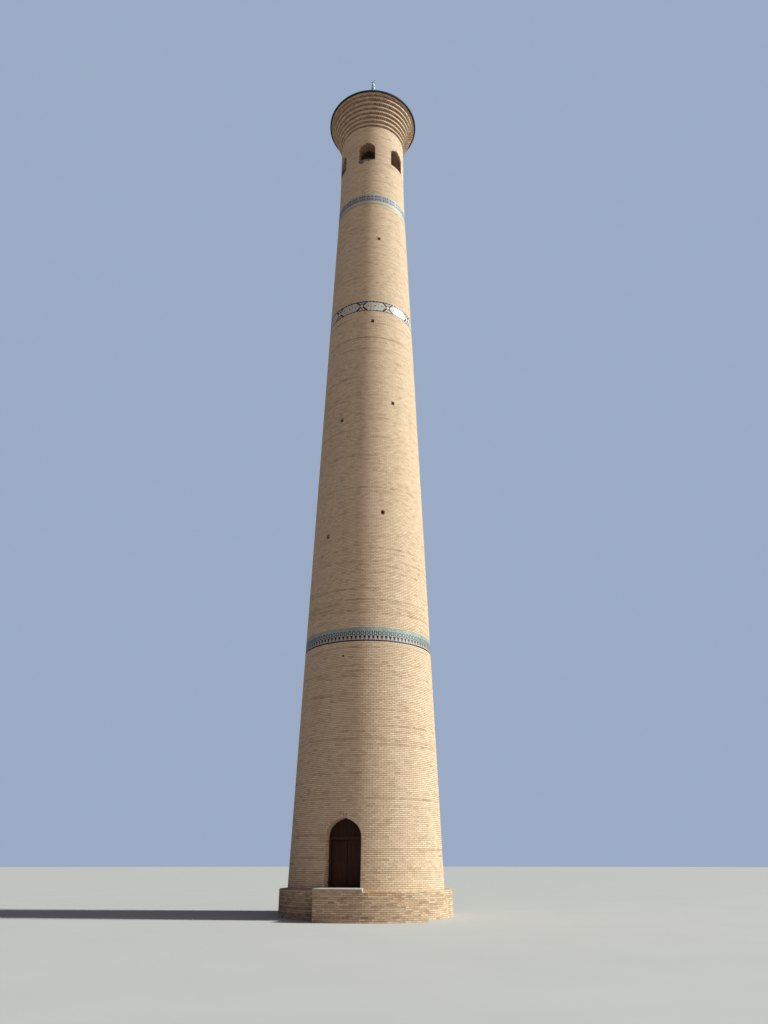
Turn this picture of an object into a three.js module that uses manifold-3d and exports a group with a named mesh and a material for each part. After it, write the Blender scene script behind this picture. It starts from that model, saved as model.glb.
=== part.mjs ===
// A tall round brick minaret, as a scale model at half the real size.
// Units are millimetres of the model. +Z is up, the door faces -Y, and the origin
// is the centre of the plinth's underside.
import * as THREE from "three";
import { mergeVertices } from "three/addons/utils/BufferGeometryUtils.js";
import Module from "manifold-3d";

const wasm = await Module();
wasm.setup();

// One real metre in the half-size model. Every size below is a real size in metres times this.
const METRE = 500;
// Bedding gap kept where one piece is cut to fit another.
const BED = 0.3;
// Free space around the moving door leaves.
const CLEARANCE = 0.012 * METRE;
// How far a cutting block runs past what it cuts.
const OVERCUT = 1 * METRE;

// Plinth and the curved stair that hugs it.
const PLINTH_RADIUS = 4.1 * METRE;
const PLINTH_TOP = 1.15 * METRE;
const STAIR_RADIUS = 5.0 * METRE;
const RISER = 0.16 * METRE;
const FLIGHT_STEPS = 5;
const FLIGHT_FOOT_BEARING = 48.5;
const STEP_BEARING = 4;
const LANDING_BEARING = 28.5;
const UPPER_STEP_BEARING = 18;
const PLATFORM_RIGHT_BEARING = 15;
const PLATFORM_LEFT_BEARING = -15;
const PLATFORM_LEFT_X = -0.85 * METRE;
const PLINTH_SIDES = 240;
const FINE_BEARING = 360 / PLINTH_SIDES;
const SLAB_THICKNESS = 0.06 * METRE;
const SLAB_NOSING = 0.03 * METRE;
const SILL_TOP = 8 * RISER;

// Shaft: a straight batter outside, a plain round void inside.
const SHAFT_FOOT_RADIUS = 3.757 * METRE;
const SHAFT_BATTER = 0.03292;
const VOID_RADIUS = 1.7 * METRE;
const RING_SIDES = 72;
const FLOOR_SIDES = 36;
const VAULT_SIDES = 24;
const FINIAL_SIDES = 16;
const ARCH_SEGMENTS = 5;
const DOOR_STAGE_TOP = 5.0 * METRE;
const LOWER_BAND = [12.33 * METRE, 13.04 * METRE];
const MIDDLE_BAND = [33.57 * METRE, 34.35 * METRE];
const UPPER_BAND = [42.82 * METRE, 43.85 * METRE];

// Square vent holes through the shaft, as [bearing in degrees, height].
// The one under the lower tile band is a single brick's end wide.
const VENT_SIZE = 0.19 * METRE;
const SMALL_VENT_SIZE = 0.11 * METRE;
const LOWER_VENTS = [[-4.7, 11.59]];
const MIDDLE_VENTS = [
  [175, 15.2], [-28.1, 18.39], [30.5, 19.55], [152, 22.4],
  [-17.2, 25.69], [105, 26.5], [44.3, 26.83], [205, 29.4], [19.2, 32.74],
];
const UPPER_VENTS = [[-71, 35.9], [190, 36.6], [28, 39.73], [-71, 41.6]];

// Doorway.
const DOOR_HALF_WIDTH = 0.845 * METRE;
const DOOR_SPRING = 3.37 * METRE;
const DOOR_ARCH = { haunch: 0.65 * METRE, haunchAngle: 50, crown: 1.3 * METRE };
const ARCH_BLOCK_HALF_WIDTH = 1.15 * METRE;
const LEAF_PLANE_Y = -2.9 * METRE;
const LEAF_THICKNESS = 0.06 * METRE;
const PIVOT_RADIUS = 0.045 * METRE;
const JAMB_WIDTH = 0.12 * METRE;
const JAMB_DEPTH = 0.1 * METRE;
const LINTEL_HEIGHT = 0.15 * METRE;
const LINTEL_BACK_Y = -2.8 * METRE;
const FANLIGHT_THICKNESS = 0.05 * METRE;

// Lantern room.
const LANTERN_RADIUS = 2.265 * METRE;
const LANTERN_VOID_RADIUS = 1.5 * METRE;
const LANTERN_FLOOR_RADIUS = 1.8 * METRE;
const LANTERN_FLOOR = 46.1 * METRE;
const LANTERN_FLOOR_THICKNESS = 0.2 * METRE;
const WINDOW_SILL = 47.2 * METRE;
const WINDOW_SPRING = 48.45 * METRE;
const WINDOW_HALF_WIDTH = 0.575 * METRE;
const WINDOW_ARCH = { haunch: 0.42 * METRE, haunchAngle: 45, crown: 1.2 * METRE };
const WINDOW_COUNT = 6;
const FIRST_WINDOW_BEARING = 7;
const VAULT_THICKNESS = 0.2 * METRE;
const VAULT_RISE = 0.9 * METRE;
const VAULT_STEPS = 6;

// Cornice of corbelled tiers, two to each course. A tier is a recessed row, where the brick teeth
// stand, under a band that juts out.
const CORNICE_FOOT = 50.57 * METRE;
const TIER_HEIGHT = 0.32 * METRE;
const TEETH_HEIGHT = 0.155 * METRE;
const TIER_COUNT = 8;
const CORNICE_FLARE = 0.845 * METRE;
const FLARE_POWER = 1.15;
const CORNICE_VOID_RADIUS = 2.0 * METRE;

// Roof and finial. The sheet at the eaves reaches out past the bricks and is turned down as a drip.
const EAVES_RADIUS = 3.24 * METRE;
const EAVES_THICKNESS = 0.03 * METRE;
const DRIP_DEPTH = 0.1 * METRE;
const ROOF_RADIUS = 2.95 * METRE;
const ROOF_RISE = 1.78 * METRE;
const ROOF_THICKNESS = 0.1 * METRE;
const ROOF_FOOT_WIDTH = 0.2 * METRE;
const ROOF_CROWN_RADIUS = 0.22 * METRE;
const ROOF_CROWN_HOLE = 0.11 * METRE;
const MAST_RADIUS = 0.045 * METRE;
const MAST_HEIGHT = 3.46 * METRE;
const MAST_FOOT_HEIGHT = 0.06 * METRE;
const MAST_TAPER_TOP = 0.3 * METRE;
const COLLAR_RADIUS = 0.08 * METRE;
const COLLAR_HEIGHT = 0.05 * METRE;
const LOWER_BALL = { radius: 0.15 * METRE, height: 2.66 * METRE };
const UPPER_BALL = { radius: 0.12 * METRE, height: 3.08 * METRE };
const BALL_STEPS = 8;
const CRESCENT = {
  outer: 0.16 * METRE,
  inner: 0.128 * METRE,
  lift: 0.035 * METRE,
  stem: 0.028 * METRE,
  stemFoot: -0.2 * METRE,
  thickness: 0.05 * METRE,
};

// Finishes.
const buffBrick = new THREE.MeshStandardMaterial({ color: 0xc9a777, roughness: 0.9 });
const paleStone = new THREE.MeshStandardMaterial({ color: 0xd9d2c4, roughness: 0.7 });
const blueTile = new THREE.MeshStandardMaterial({ color: 0x2f8f93, roughness: 0.25 });
const paleTile = new THREE.MeshStandardMaterial({ color: 0xcfd6cc, roughness: 0.25 });
const brownWood = new THREE.MeshStandardMaterial({ color: 0x5b3520, roughness: 0.6 });
const plaster = new THREE.MeshStandardMaterial({ color: 0xb08d66, roughness: 0.95 });
const darkSheet = new THREE.MeshStandardMaterial({ color: 0x2b2d2f, roughness: 0.5, metalness: 0.8 });
const silverSheet = new THREE.MeshStandardMaterial({ color: 0xb9bdc0, roughness: 0.3, metalness: 1 });

// Turns a closed three.js geometry into a solid that can be joined and cut.
function solidOf(geometry) {
  const bare = geometry.clone();
  bare.deleteAttribute("normal");
  bare.deleteAttribute("uv");
  const welded = mergeVertices(bare);
  const vertProperties = Float32Array.from(welded.attributes.position.array);
  const triVerts = Uint32Array.from(welded.index.array);
  return new wasm.Manifold(new wasm.Mesh({ numProp: 3, vertProperties, triVerts }));
}

function geometryOf(solid) {
  const { vertProperties, triVerts } = solid.getMesh();
  const geometry = new THREE.BufferGeometry();
  geometry.setAttribute("position", new THREE.BufferAttribute(vertProperties, 3));
  geometry.setIndex(new THREE.BufferAttribute(triVerts, 1));
  geometry.computeVertexNormals();
  return geometry;
}

function piece(name, geometry, material, level = 0) {
  const mesh = new THREE.Mesh(geometry, material);
  mesh.name = name;
  mesh.position.z = level;
  return mesh;
}

// The point of a plan circle at a bearing, counted from -Y towards +X.
function planPoint(radius, bearing) {
  const angle = THREE.MathUtils.degToRad(bearing);
  return new THREE.Vector2(radius * Math.sin(angle), -radius * Math.cos(angle));
}

function arcPoints(radius, from, to, step) {
  const count = Math.round((to - from) / step);
  const stride = (to - from) / count;
  return Array.from({ length: count + 1 }, (_, i) => planPoint(radius, from + i * stride));
}

// A curved block between two radii and two bearings, standing on z = 0.
function curvedBlock(inner, outer, from, to, height) {
  const outerArc = arcPoints(outer, from, to, FINE_BEARING);
  const innerArc = arcPoints(inner, from, to, FINE_BEARING).reverse();
  const plan = new THREE.Shape([...outerArc, ...innerArc]);
  return new THREE.ExtrudeGeometry(plan, { depth: height, bevelEnabled: false });
}

// A turned solid from an outline of [radius, height] points, anticlockwise.
function turned(outline, sides = RING_SIDES) {
  const points = [...outline, outline[0]].map(([radius, height]) => new THREE.Vector2(radius, height));
  return new THREE.LatheGeometry(points, sides).rotateX(Math.PI / 2);
}

function ring(inner, outerFoot, outerHead, height) {
  return turned([[inner, 0], [outerFoot, 0], [outerHead, height], [inner, height]]);
}

function roundSlab(radius, thickness) {
  const plan = new THREE.Shape(arcPoints(radius, 0, 360 - 360 / FLOOR_SIDES, 360 / FLOOR_SIDES));
  return new THREE.ExtrudeGeometry(plan, { depth: thickness, bevelEnabled: false });
}

// A box given by its lower and upper corners.
function block([x0, y0, z0], [x1, y1, z1]) {
  const box = new THREE.BoxGeometry(x1 - x0, y1 - y0, z1 - z0);
  return box.translate((x0 + x1) / 2, (y0 + y1) / 2, (z0 + z1) / 2);
}

// The outline of an opening under a four-centred pointed arch, standing on z = 0.
function archShape(halfWidth, spring, { haunch, haunchAngle, crown }) {
  const turn = THREE.MathUtils.degToRad(haunchAngle);
  const haunchX = halfWidth - haunch;
  const crownX = haunchX + (haunch - crown) * Math.cos(turn);
  const crownZ = spring + (haunch - crown) * Math.sin(turn);
  const apexTurn = Math.acos(-crownX / crown);
  const shape = new THREE.Shape();
  shape.moveTo(-halfWidth, 0);
  shape.lineTo(halfWidth, 0);
  shape.lineTo(halfWidth, spring);
  shape.absarc(haunchX, spring, haunch, 0, turn);
  shape.absarc(crownX, crownZ, crown, turn, apexTurn);
  shape.absarc(-crownX, crownZ, crown, Math.PI - apexTurn, Math.PI - turn);
  shape.absarc(-haunchX, spring, haunch, Math.PI - turn, Math.PI);
  return shape;
}

// Extrudes an upright outline through the wall, from the given y towards -Y.
function throughWall(shape, depth, fromY) {
  const settings = { depth, bevelEnabled: false, curveSegments: ARCH_SEGMENTS };
  const flat = new THREE.ExtrudeGeometry(shape, settings);
  return flat.rotateX(Math.PI / 2).translate(0, fromY, 0);
}

function shaftRadius(height) {
  return Math.max(SHAFT_FOOT_RADIUS - SHAFT_BATTER * height, LANTERN_RADIUS);
}

function shaftRing(foot, head) {
  return ring(VOID_RADIUS, shaftRadius(foot), shaftRadius(head), head - foot);
}

function ventedRing(foot, head, vents, size = VENT_SIZE) {
  let wall = solidOf(shaftRing(foot, head));
  const start = VOID_RADIUS / 2;
  const depth = SHAFT_FOOT_RADIUS - start;
  for (const [bearing, height] of vents) {
    const vent = new THREE.BoxGeometry(size, depth, size);
    vent.translate(0, -start - depth / 2, height * METRE - foot);
    vent.rotateZ(THREE.MathUtils.degToRad(bearing));
    wall = wall.subtract(solidOf(vent));
  }
  return geometryOf(wall);
}

// The stair up to the door. Its steps fan round the plinth, and the platform's left side is cut
// straight, in line with the door's left edge.
function stair() {
  const group = new THREE.Group();
  const foot = PLINTH_RADIUS + BED;
  const wallFace = shaftRadius(PLINTH_TOP) + BED;
  const left = PLATFORM_LEFT_BEARING;
  const right = PLATFORM_RIGHT_BEARING;
  const platformTop = SILL_TOP - SLAB_THICKNESS;
  const platformMass = solidOf(curvedBlock(wallFace, STAIR_RADIUS, left, right, platformTop));
  const seatTop = PLINTH_TOP + BED;
  const seatOutline = [[0, -OVERCUT], [foot, -OVERCUT], [foot, seatTop], [0, seatTop]];
  const plinthSeat = turned(seatOutline, PLINTH_SIDES);
  const reach = STAIR_RADIUS + OVERCUT;
  const rightOf = (x) => solidOf(block([x, -reach, -OVERCUT], [reach, 0, SILL_TOP + OVERCUT]));
  const platform = platformMass.subtract(solidOf(plinthSeat)).intersect(rightOf(PLATFORM_LEFT_X));
  group.add(piece("door_platform", geometryOf(platform), buffBrick));

  const slabMass = solidOf(curvedBlock(wallFace, STAIR_RADIUS + SLAB_NOSING, left, right, SLAB_THICKNESS));
  const slab = slabMass.intersect(rightOf(PLATFORM_LEFT_X - SLAB_NOSING));
  group.add(piece("platform_slab", geometryOf(slab), paleStone, platformTop));

  const upperStep = curvedBlock(foot, STAIR_RADIUS, right, UPPER_STEP_BEARING, 7 * RISER);
  group.add(piece("stair_upper_step", upperStep, buffBrick));
  const landing = curvedBlock(foot, STAIR_RADIUS, UPPER_STEP_BEARING, LANDING_BEARING, 6 * RISER);
  group.add(piece("stair_landing", landing, buffBrick));
  for (let i = 1; i <= FLIGHT_STEPS; i += 1) {
    const to = FLIGHT_FOOT_BEARING - (i - 1) * STEP_BEARING;
    const step = curvedBlock(foot, STAIR_RADIUS, to - STEP_BEARING, to, i * RISER);
    group.add(piece(`stair_step_${i}`, step, buffBrick));
  }
  return group;
}

function plinth() {
  const plan = new THREE.Shape(arcPoints(PLINTH_RADIUS, 0, 360 - FINE_BEARING, FINE_BEARING));
  const drum = new THREE.ExtrudeGeometry(plan, { depth: PLINTH_TOP, bevelEnabled: false });
  return piece("plinth", drum, buffBrick);
}

// The storey with the doorway: two front quarters, the back half and the arch block.
// Heights inside this group count from the plinth's top.
function doorStage() {
  const group = new THREE.Group();
  group.position.z = PLINTH_TOP;
  const height = DOOR_STAGE_TOP - PLINTH_TOP;
  const spring = DOOR_SPRING - PLINTH_TOP;
  const reach = PLINTH_RADIUS;
  const wall = solidOf(shaftRing(PLINTH_TOP, DOOR_STAGE_TOP));
  const top = height + OVERCUT;
  const openingShape = archShape(DOOR_HALF_WIDTH, spring + OVERCUT, DOOR_ARCH);
  const opening = solidOf(throughWall(openingShape, reach, 0).translate(0, 0, -OVERCUT));
  const seat = ARCH_BLOCK_HALF_WIDTH;
  const archSeat = solidOf(block([-seat, -reach, spring], [seat, 0, top]));

  const leftQuarter = solidOf(block([-reach, -reach, -OVERCUT], [0, -BED / 2, top]));
  const rightQuarter = solidOf(block([0, -reach, -OVERCUT], [reach, -BED / 2, top]));
  const backHalf = solidOf(block([-reach, BED / 2, -OVERCUT], [reach, reach, top]));
  const left = wall.intersect(leftQuarter).subtract(opening).subtract(archSeat);
  const right = wall.intersect(rightQuarter).subtract(opening).subtract(archSeat);
  const back = wall.intersect(backHalf);
  group.add(piece("base_wall_left", geometryOf(left), buffBrick));
  group.add(piece("base_wall_right", geometryOf(right), buffBrick));
  group.add(piece("base_wall_back", geometryOf(back), buffBrick));

  const keep = seat - BED;
  const archMass = solidOf(block([-keep, -reach, spring + BED], [keep, -BED / 2, top]));
  const arch = wall.intersect(archMass).subtract(opening);
  group.add(piece("door_arch", geometryOf(arch), buffBrick));

  const sillHeight = SILL_TOP - PLINTH_TOP;
  const sillWidth = DOOR_HALF_WIDTH - BED;
  const sillRing = ring(VOID_RADIUS + BED, shaftRadius(PLINTH_TOP), shaftRadius(PLINTH_TOP), sillHeight);
  const doorStrip = solidOf(block([-sillWidth, -reach, -OVERCUT], [sillWidth, 0, top]));
  const sill = solidOf(sillRing).intersect(doorStrip);
  group.add(piece("door_sill", geometryOf(sill), paleStone));

  group.add(piece("ground_floor", roundSlab(VOID_RADIUS - BED, sillHeight), buffBrick));
  return group;
}

// One leaf turns on the round post at its outer edge, which stands on the sill.
function doorLeaf(side, height) {
  const postX = DOOR_HALF_WIDTH - PIVOT_RADIUS - CLEARANCE;
  const width = postX - CLEARANCE / 2;
  const half = LEAF_THICKNESS / 2;
  const boards = block([0, -half, CLEARANCE], [width, half, height - CLEARANCE]);
  const post = new THREE.CylinderGeometry(PIVOT_RADIUS, PIVOT_RADIUS, height - 2 * BED, FINIAL_SIDES);
  post.rotateX(Math.PI / 2).translate(0, 0, height / 2);
  const leaf = new THREE.Mesh(geometryOf(solidOf(boards).add(solidOf(post))), brownWood);
  leaf.name = side < 0 ? "door_leaf_left" : "door_leaf_right";
  leaf.position.set(side * postX, LEAF_PLANE_Y, 0);
  leaf.rotation.z = side < 0 ? 0 : Math.PI;
  return leaf;
}

// The joinery in the doorway. Heights inside this group count from the sill.
function door() {
  const group = new THREE.Group();
  group.position.z = SILL_TOP;
  const lintelFoot = DOOR_SPRING - SILL_TOP - LINTEL_HEIGHT;
  const outer = DOOR_HALF_WIDTH - BED;
  const inner = outer - JAMB_WIDTH;
  const jambBack = LEAF_PLANE_Y - PIVOT_RADIUS - CLEARANCE;
  const jambFront = jambBack - JAMB_DEPTH;
  const leftJamb = block([-outer, jambFront, 0], [-inner, jambBack, lintelFoot]);
  const rightJamb = block([inner, jambFront, 0], [outer, jambBack, lintelFoot]);
  const lintel = block([-outer, jambFront, 0], [outer, LINTEL_BACK_Y, LINTEL_HEIGHT]);
  group.add(piece("door_jamb_left", leftJamb, brownWood));
  group.add(piece("door_jamb_right", rightJamb, brownWood));
  group.add(piece("door_lintel", lintel, brownWood, lintelFoot));
  group.add(doorLeaf(-1, lintelFoot), doorLeaf(1, lintelFoot));

  const { haunch, haunchAngle, crown } = DOOR_ARCH;
  const fitted = { haunch: haunch - BED, haunchAngle, crown: crown - BED };
  const fanlight = throughWall(archShape(outer, 0, fitted), FANLIGHT_THICKNESS, jambBack);
  group.add(piece("arch_fanlight", fanlight, brownWood, lintelFoot + LINTEL_HEIGHT));
  return group;
}

function shaft() {
  const group = new THREE.Group();
  const lower = ventedRing(DOOR_STAGE_TOP, LOWER_BAND[0], LOWER_VENTS, SMALL_VENT_SIZE);
  const middle = ventedRing(LOWER_BAND[1], MIDDLE_BAND[0], MIDDLE_VENTS);
  const upper = ventedRing(MIDDLE_BAND[1], UPPER_BAND[0], UPPER_VENTS);
  group.add(piece("lower_shaft", lower, buffBrick, DOOR_STAGE_TOP));
  group.add(piece("lower_tile_band", shaftRing(...LOWER_BAND), blueTile, LOWER_BAND[0]));
  group.add(piece("middle_shaft", middle, buffBrick, LOWER_BAND[1]));
  group.add(piece("middle_tile_band", shaftRing(...MIDDLE_BAND), paleTile, MIDDLE_BAND[0]));
  group.add(piece("upper_shaft", upper, buffBrick, MIDDLE_BAND[1]));
  group.add(piece("upper_tile_band", shaftRing(...UPPER_BAND), blueTile, UPPER_BAND[0]));
  group.add(piece("shaft_neck", shaftRing(UPPER_BAND[1], LANTERN_FLOOR), buffBrick, UPPER_BAND[1]));
  return group;
}

// The room with six arched windows at the head of the shaft.
// Heights inside this group count from the underside of its floor.
function lantern() {
  const group = new THREE.Group();
  group.position.z = LANTERN_FLOOR;
  const sill = WINDOW_SILL - LANTERN_FLOOR;
  const spring = WINDOW_SPRING - LANTERN_FLOOR;
  const head = CORNICE_FOOT - LANTERN_FLOOR;
  const floor = roundSlab(LANTERN_FLOOR_RADIUS - BED, LANTERN_FLOOR_THICKNESS);
  group.add(piece("lantern_floor", floor, buffBrick));
  const overFloor = LANTERN_FLOOR_THICKNESS + BED;
  const parapet = [
    [LANTERN_FLOOR_RADIUS, 0], [LANTERN_RADIUS, 0], [LANTERN_RADIUS, sill],
    [LANTERN_VOID_RADIUS, sill], [LANTERN_VOID_RADIUS, overFloor], [LANTERN_FLOOR_RADIUS, overFloor],
  ];
  group.add(piece("lantern_sill_wall", turned(parapet), buffBrick));

  const reach = LANTERN_RADIUS + OVERCUT;
  const pitch = 360 / WINDOW_COUNT;
  const windowShape = archShape(WINDOW_HALF_WIDTH, spring, WINDOW_ARCH);
  const windows = Array.from({ length: WINDOW_COUNT }, (_, i) => {
    const turn = THREE.MathUtils.degToRad(FIRST_WINDOW_BEARING + i * pitch);
    return solidOf(throughWall(windowShape, reach, 0).rotateZ(turn));
  });

  const pierWall = ring(LANTERN_VOID_RADIUS, LANTERN_RADIUS, LANTERN_RADIUS, spring - sill);
  const pierRing = solidOf(pierWall.translate(0, 0, sill));
  for (let i = 0; i < WINDOW_COUNT; i += 1) {
    const turn = THREE.MathUtils.degToRad(FIRST_WINDOW_BEARING + (i + 0.5) * pitch);
    const bay = block([-LANTERN_VOID_RADIUS / 2, -reach, 0], [LANTERN_VOID_RADIUS / 2, 0, head]);
    const pier = pierRing.intersect(solidOf(bay.rotateZ(turn)));
    const clear = pier.subtract(windows[i]).subtract(windows[(i + 1) % WINDOW_COUNT]);
    group.add(piece(`lantern_pier_${i + 1}`, geometryOf(clear), buffBrick));
  }

  const archWall = ring(LANTERN_VOID_RADIUS, LANTERN_RADIUS, LANTERN_RADIUS, head - spring);
  let arches = solidOf(archWall.translate(0, 0, spring));
  for (const window of windows) {
    arches = arches.subtract(window);
  }
  group.add(piece("lantern_arch_ring", geometryOf(arches), buffBrick));
  group.add(piece("lantern_vault", vault(), plaster, head));
  return group;
}

// A shallow dome, thick at its foot and resting on the wall's inner edge.
function vault() {
  const arc = (radius, rise) => Array.from({ length: VAULT_STEPS + 1 }, (_, i) => {
    const turn = (i / VAULT_STEPS) * (Math.PI / 2);
    return [i === VAULT_STEPS ? 0 : radius * Math.cos(turn), rise * Math.sin(turn)];
  });
  const outside = arc(CORNICE_VOID_RADIUS - BED, VAULT_RISE + VAULT_THICKNESS);
  const inside = arc(LANTERN_VOID_RADIUS, VAULT_RISE).reverse();
  return turned([...outside, ...inside], VAULT_SIDES);
}

function tierRadius(tier) {
  return LANTERN_RADIUS + CORNICE_FLARE * (tier / TIER_COUNT) ** FLARE_POWER;
}

function cornice() {
  const group = new THREE.Group();
  group.position.z = CORNICE_FOOT;
  const courseHeight = 2 * TIER_HEIGHT;
  for (let course = 1; course <= TIER_COUNT / 2; course += 1) {
    const [back, lower, upper] = [2, 1, 0].map((below) => tierRadius(2 * course - below));
    const outline = [
      [CORNICE_VOID_RADIUS, 0], [back, 0], [back, TEETH_HEIGHT], [lower, TEETH_HEIGHT],
      [lower, TIER_HEIGHT + TEETH_HEIGHT], [upper, TIER_HEIGHT + TEETH_HEIGHT],
      [upper, courseHeight], [CORNICE_VOID_RADIUS, courseHeight],
    ];
    const level = (course - 1) * courseHeight;
    group.add(piece(`cornice_course_${course}`, turned(outline), buffBrick, level));
  }
  return group;
}

// A ball threaded on the mast, with a flat foot that stands on its collar.
function finialBall(radius) {
  const bore = MAST_RADIUS + BED;
  const flat = Math.acos((COLLAR_RADIUS - BED) / radius);
  const round = Array.from({ length: BALL_STEPS + 1 }, (_, i) => {
    const turn = -flat + (2 * flat * i) / BALL_STEPS;
    return [radius * Math.cos(turn), radius * (Math.sin(turn) + Math.sin(flat))];
  });
  return turned([[bore, 0], ...round, [bore, 2 * radius * Math.sin(flat)]], FINIAL_SIDES);
}

// A nearly closed crescent on a short stem, cut from plate.
function crescent() {
  const { outer, inner, lift, stem, stemFoot, thickness } = CRESCENT;
  const hornZ = (outer ** 2 - inner ** 2 + lift ** 2) / (2 * lift);
  const hornX = Math.sqrt(outer ** 2 - hornZ ** 2);
  const outerTurn = Math.atan2(hornZ, hornX);
  const innerTurn = Math.atan2(hornZ - lift, hornX);
  const stemTurn = Math.asin(stem / outer);
  const shape = new THREE.Shape();
  shape.moveTo(-stem, stemFoot);
  shape.lineTo(stem, stemFoot);
  shape.absarc(0, 0, outer, stemTurn - Math.PI / 2, outerTurn);
  shape.absarc(0, lift, inner, innerTurn, Math.PI - innerTurn, true);
  shape.absarc(0, 0, outer, Math.PI - outerTurn, 1.5 * Math.PI - stemTurn);
  const plate = throughWall(shape, thickness, thickness / 2);
  return plate.translate(0, 0, -stemFoot);
}

function roof() {
  const group = new THREE.Group();
  const eaves = CORNICE_FOOT + TIER_COUNT * TIER_HEIGHT;
  group.position.z = eaves;
  const drip = EAVES_RADIUS - EAVES_THICKNESS;
  const flashing = [
    [ROOF_RADIUS + BED, 0], [drip, 0], [drip, -DRIP_DEPTH],
    [EAVES_RADIUS, -DRIP_DEPTH], [EAVES_RADIUS, EAVES_THICKNESS], [ROOF_RADIUS + BED, EAVES_THICKNESS],
  ];
  group.add(piece("rim_flashing", turned(flashing), darkSheet));
  const crown = ROOF_CROWN_RADIUS;
  const cone = [
    [ROOF_RADIUS - ROOF_FOOT_WIDTH, 0], [ROOF_RADIUS, 0],
    [crown, ROOF_RISE], [ROOF_CROWN_HOLE, ROOF_RISE], [ROOF_CROWN_HOLE, ROOF_RISE - ROOF_THICKNESS],
  ];
  group.add(piece("roof_cone", turned(cone), darkSheet));

  const collarFoot = (ball) => ball.height - COLLAR_HEIGHT;
  const mast = [
    [0, 0], [crown, 0], [crown, MAST_FOOT_HEIGHT], [COLLAR_RADIUS, MAST_TAPER_TOP],
    [MAST_RADIUS, MAST_TAPER_TOP],
    [MAST_RADIUS, collarFoot(LOWER_BALL)], [COLLAR_RADIUS, collarFoot(LOWER_BALL)],
    [COLLAR_RADIUS, LOWER_BALL.height], [MAST_RADIUS, LOWER_BALL.height],
    [MAST_RADIUS, collarFoot(UPPER_BALL)], [COLLAR_RADIUS, collarFoot(UPPER_BALL)],
    [COLLAR_RADIUS, UPPER_BALL.height], [MAST_RADIUS, UPPER_BALL.height],
    [MAST_RADIUS, MAST_HEIGHT], [0, MAST_HEIGHT],
  ];
  group.add(piece("finial_mast", turned(mast, FINIAL_SIDES), silverSheet, ROOF_RISE));
  for (const [name, ball] of [["finial_ball_lower", LOWER_BALL], ["finial_ball_upper", UPPER_BALL]]) {
    group.add(piece(name, finialBall(ball.radius), silverSheet, ROOF_RISE + ball.height));
  }
  group.add(piece("finial_crescent", crescent(), silverSheet, ROOF_RISE + MAST_HEIGHT));
  return group;
}

const minaret = new THREE.Group();
minaret.add(plinth(), stair(), doorStage(), door(), shaft(), lantern(), cornice(), roof());

export default minaret;
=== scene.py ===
import math

import bpy
import numpy as np
from mathutils import Euler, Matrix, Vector


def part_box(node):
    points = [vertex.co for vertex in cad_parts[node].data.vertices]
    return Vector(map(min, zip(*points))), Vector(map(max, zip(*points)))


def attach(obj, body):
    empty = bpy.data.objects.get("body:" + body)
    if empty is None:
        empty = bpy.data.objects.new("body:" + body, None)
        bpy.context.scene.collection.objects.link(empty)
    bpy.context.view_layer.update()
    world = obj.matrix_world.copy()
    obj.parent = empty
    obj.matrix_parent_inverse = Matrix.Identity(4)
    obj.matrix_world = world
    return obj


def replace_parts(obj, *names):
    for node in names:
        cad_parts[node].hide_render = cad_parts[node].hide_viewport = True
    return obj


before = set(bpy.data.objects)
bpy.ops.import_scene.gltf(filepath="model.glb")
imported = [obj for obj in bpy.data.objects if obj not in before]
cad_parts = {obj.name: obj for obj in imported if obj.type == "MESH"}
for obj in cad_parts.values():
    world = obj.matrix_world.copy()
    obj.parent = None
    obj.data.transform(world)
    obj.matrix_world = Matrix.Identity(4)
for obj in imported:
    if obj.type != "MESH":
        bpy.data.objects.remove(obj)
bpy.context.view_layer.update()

# The camera stands at eye height about 40 real metres from the tower, a little to the right of
# the doorway, and is tilted far back to take in the finial. The model is at half the real size,
# so one real metre is half a metre here.
METRE = 0.5
CAMERA_DISTANCE = 40.5 * METRE
EYE_HEIGHT = 2.3 * METRE
CAMERA_BEARING = math.radians(17)
CAMERA_TILT = math.radians(24.73)
HEADING_OFFSET = math.radians(1.21)
FOCAL_PIXELS = 760
PICTURE_HEIGHT = 1024
SENSOR_WIDTH = 36
SEEN_AS_FAR_AS = 400

camera_data = bpy.data.cameras.new("camera")
camera_data.sensor_width = SENSOR_WIDTH
camera_data.lens = SENSOR_WIDTH * FOCAL_PIXELS / PICTURE_HEIGHT
camera_data.clip_end = SEEN_AS_FAR_AS
camera = bpy.data.objects.new("camera", camera_data)
camera.location = (
    CAMERA_DISTANCE * math.sin(CAMERA_BEARING),
    -CAMERA_DISTANCE * math.cos(CAMERA_BEARING),
    EYE_HEIGHT,
)
camera.rotation_euler = (math.pi / 2 + CAMERA_TILT, 0, CAMERA_BEARING - HEADING_OFFSET)
bpy.context.collection.objects.link(camera)
bpy.context.scene.camera = camera

# A large lamp stands high on the right, a broad weak one in front opens the shade, and dim light
# comes from all round. Behind the tower the studio wall shows as a pale blue grey.
KEY_BEARING = math.radians(100)
KEY_HEIGHT = math.radians(36)
KEY_STRENGTH = 6.75
KEY_SOFTNESS = math.radians(5)
KEY_COLOUR = (0.875, 1.0, 0.96)
FILL_BEARING = math.radians(60)
FILL_HEIGHT = math.radians(20)
FILL_STRENGTH = 0.54
FILL_SOFTNESS = math.radians(60)
FILL_COLOUR = (1.0, 0.80, 0.76)
ROOM_COLOUR = (0.565, 0.63, 0.89, 1)
ROOM_STRENGTH = 0.20
WALL_COLOUR = (0.33, 0.41, 0.56, 1)


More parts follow.
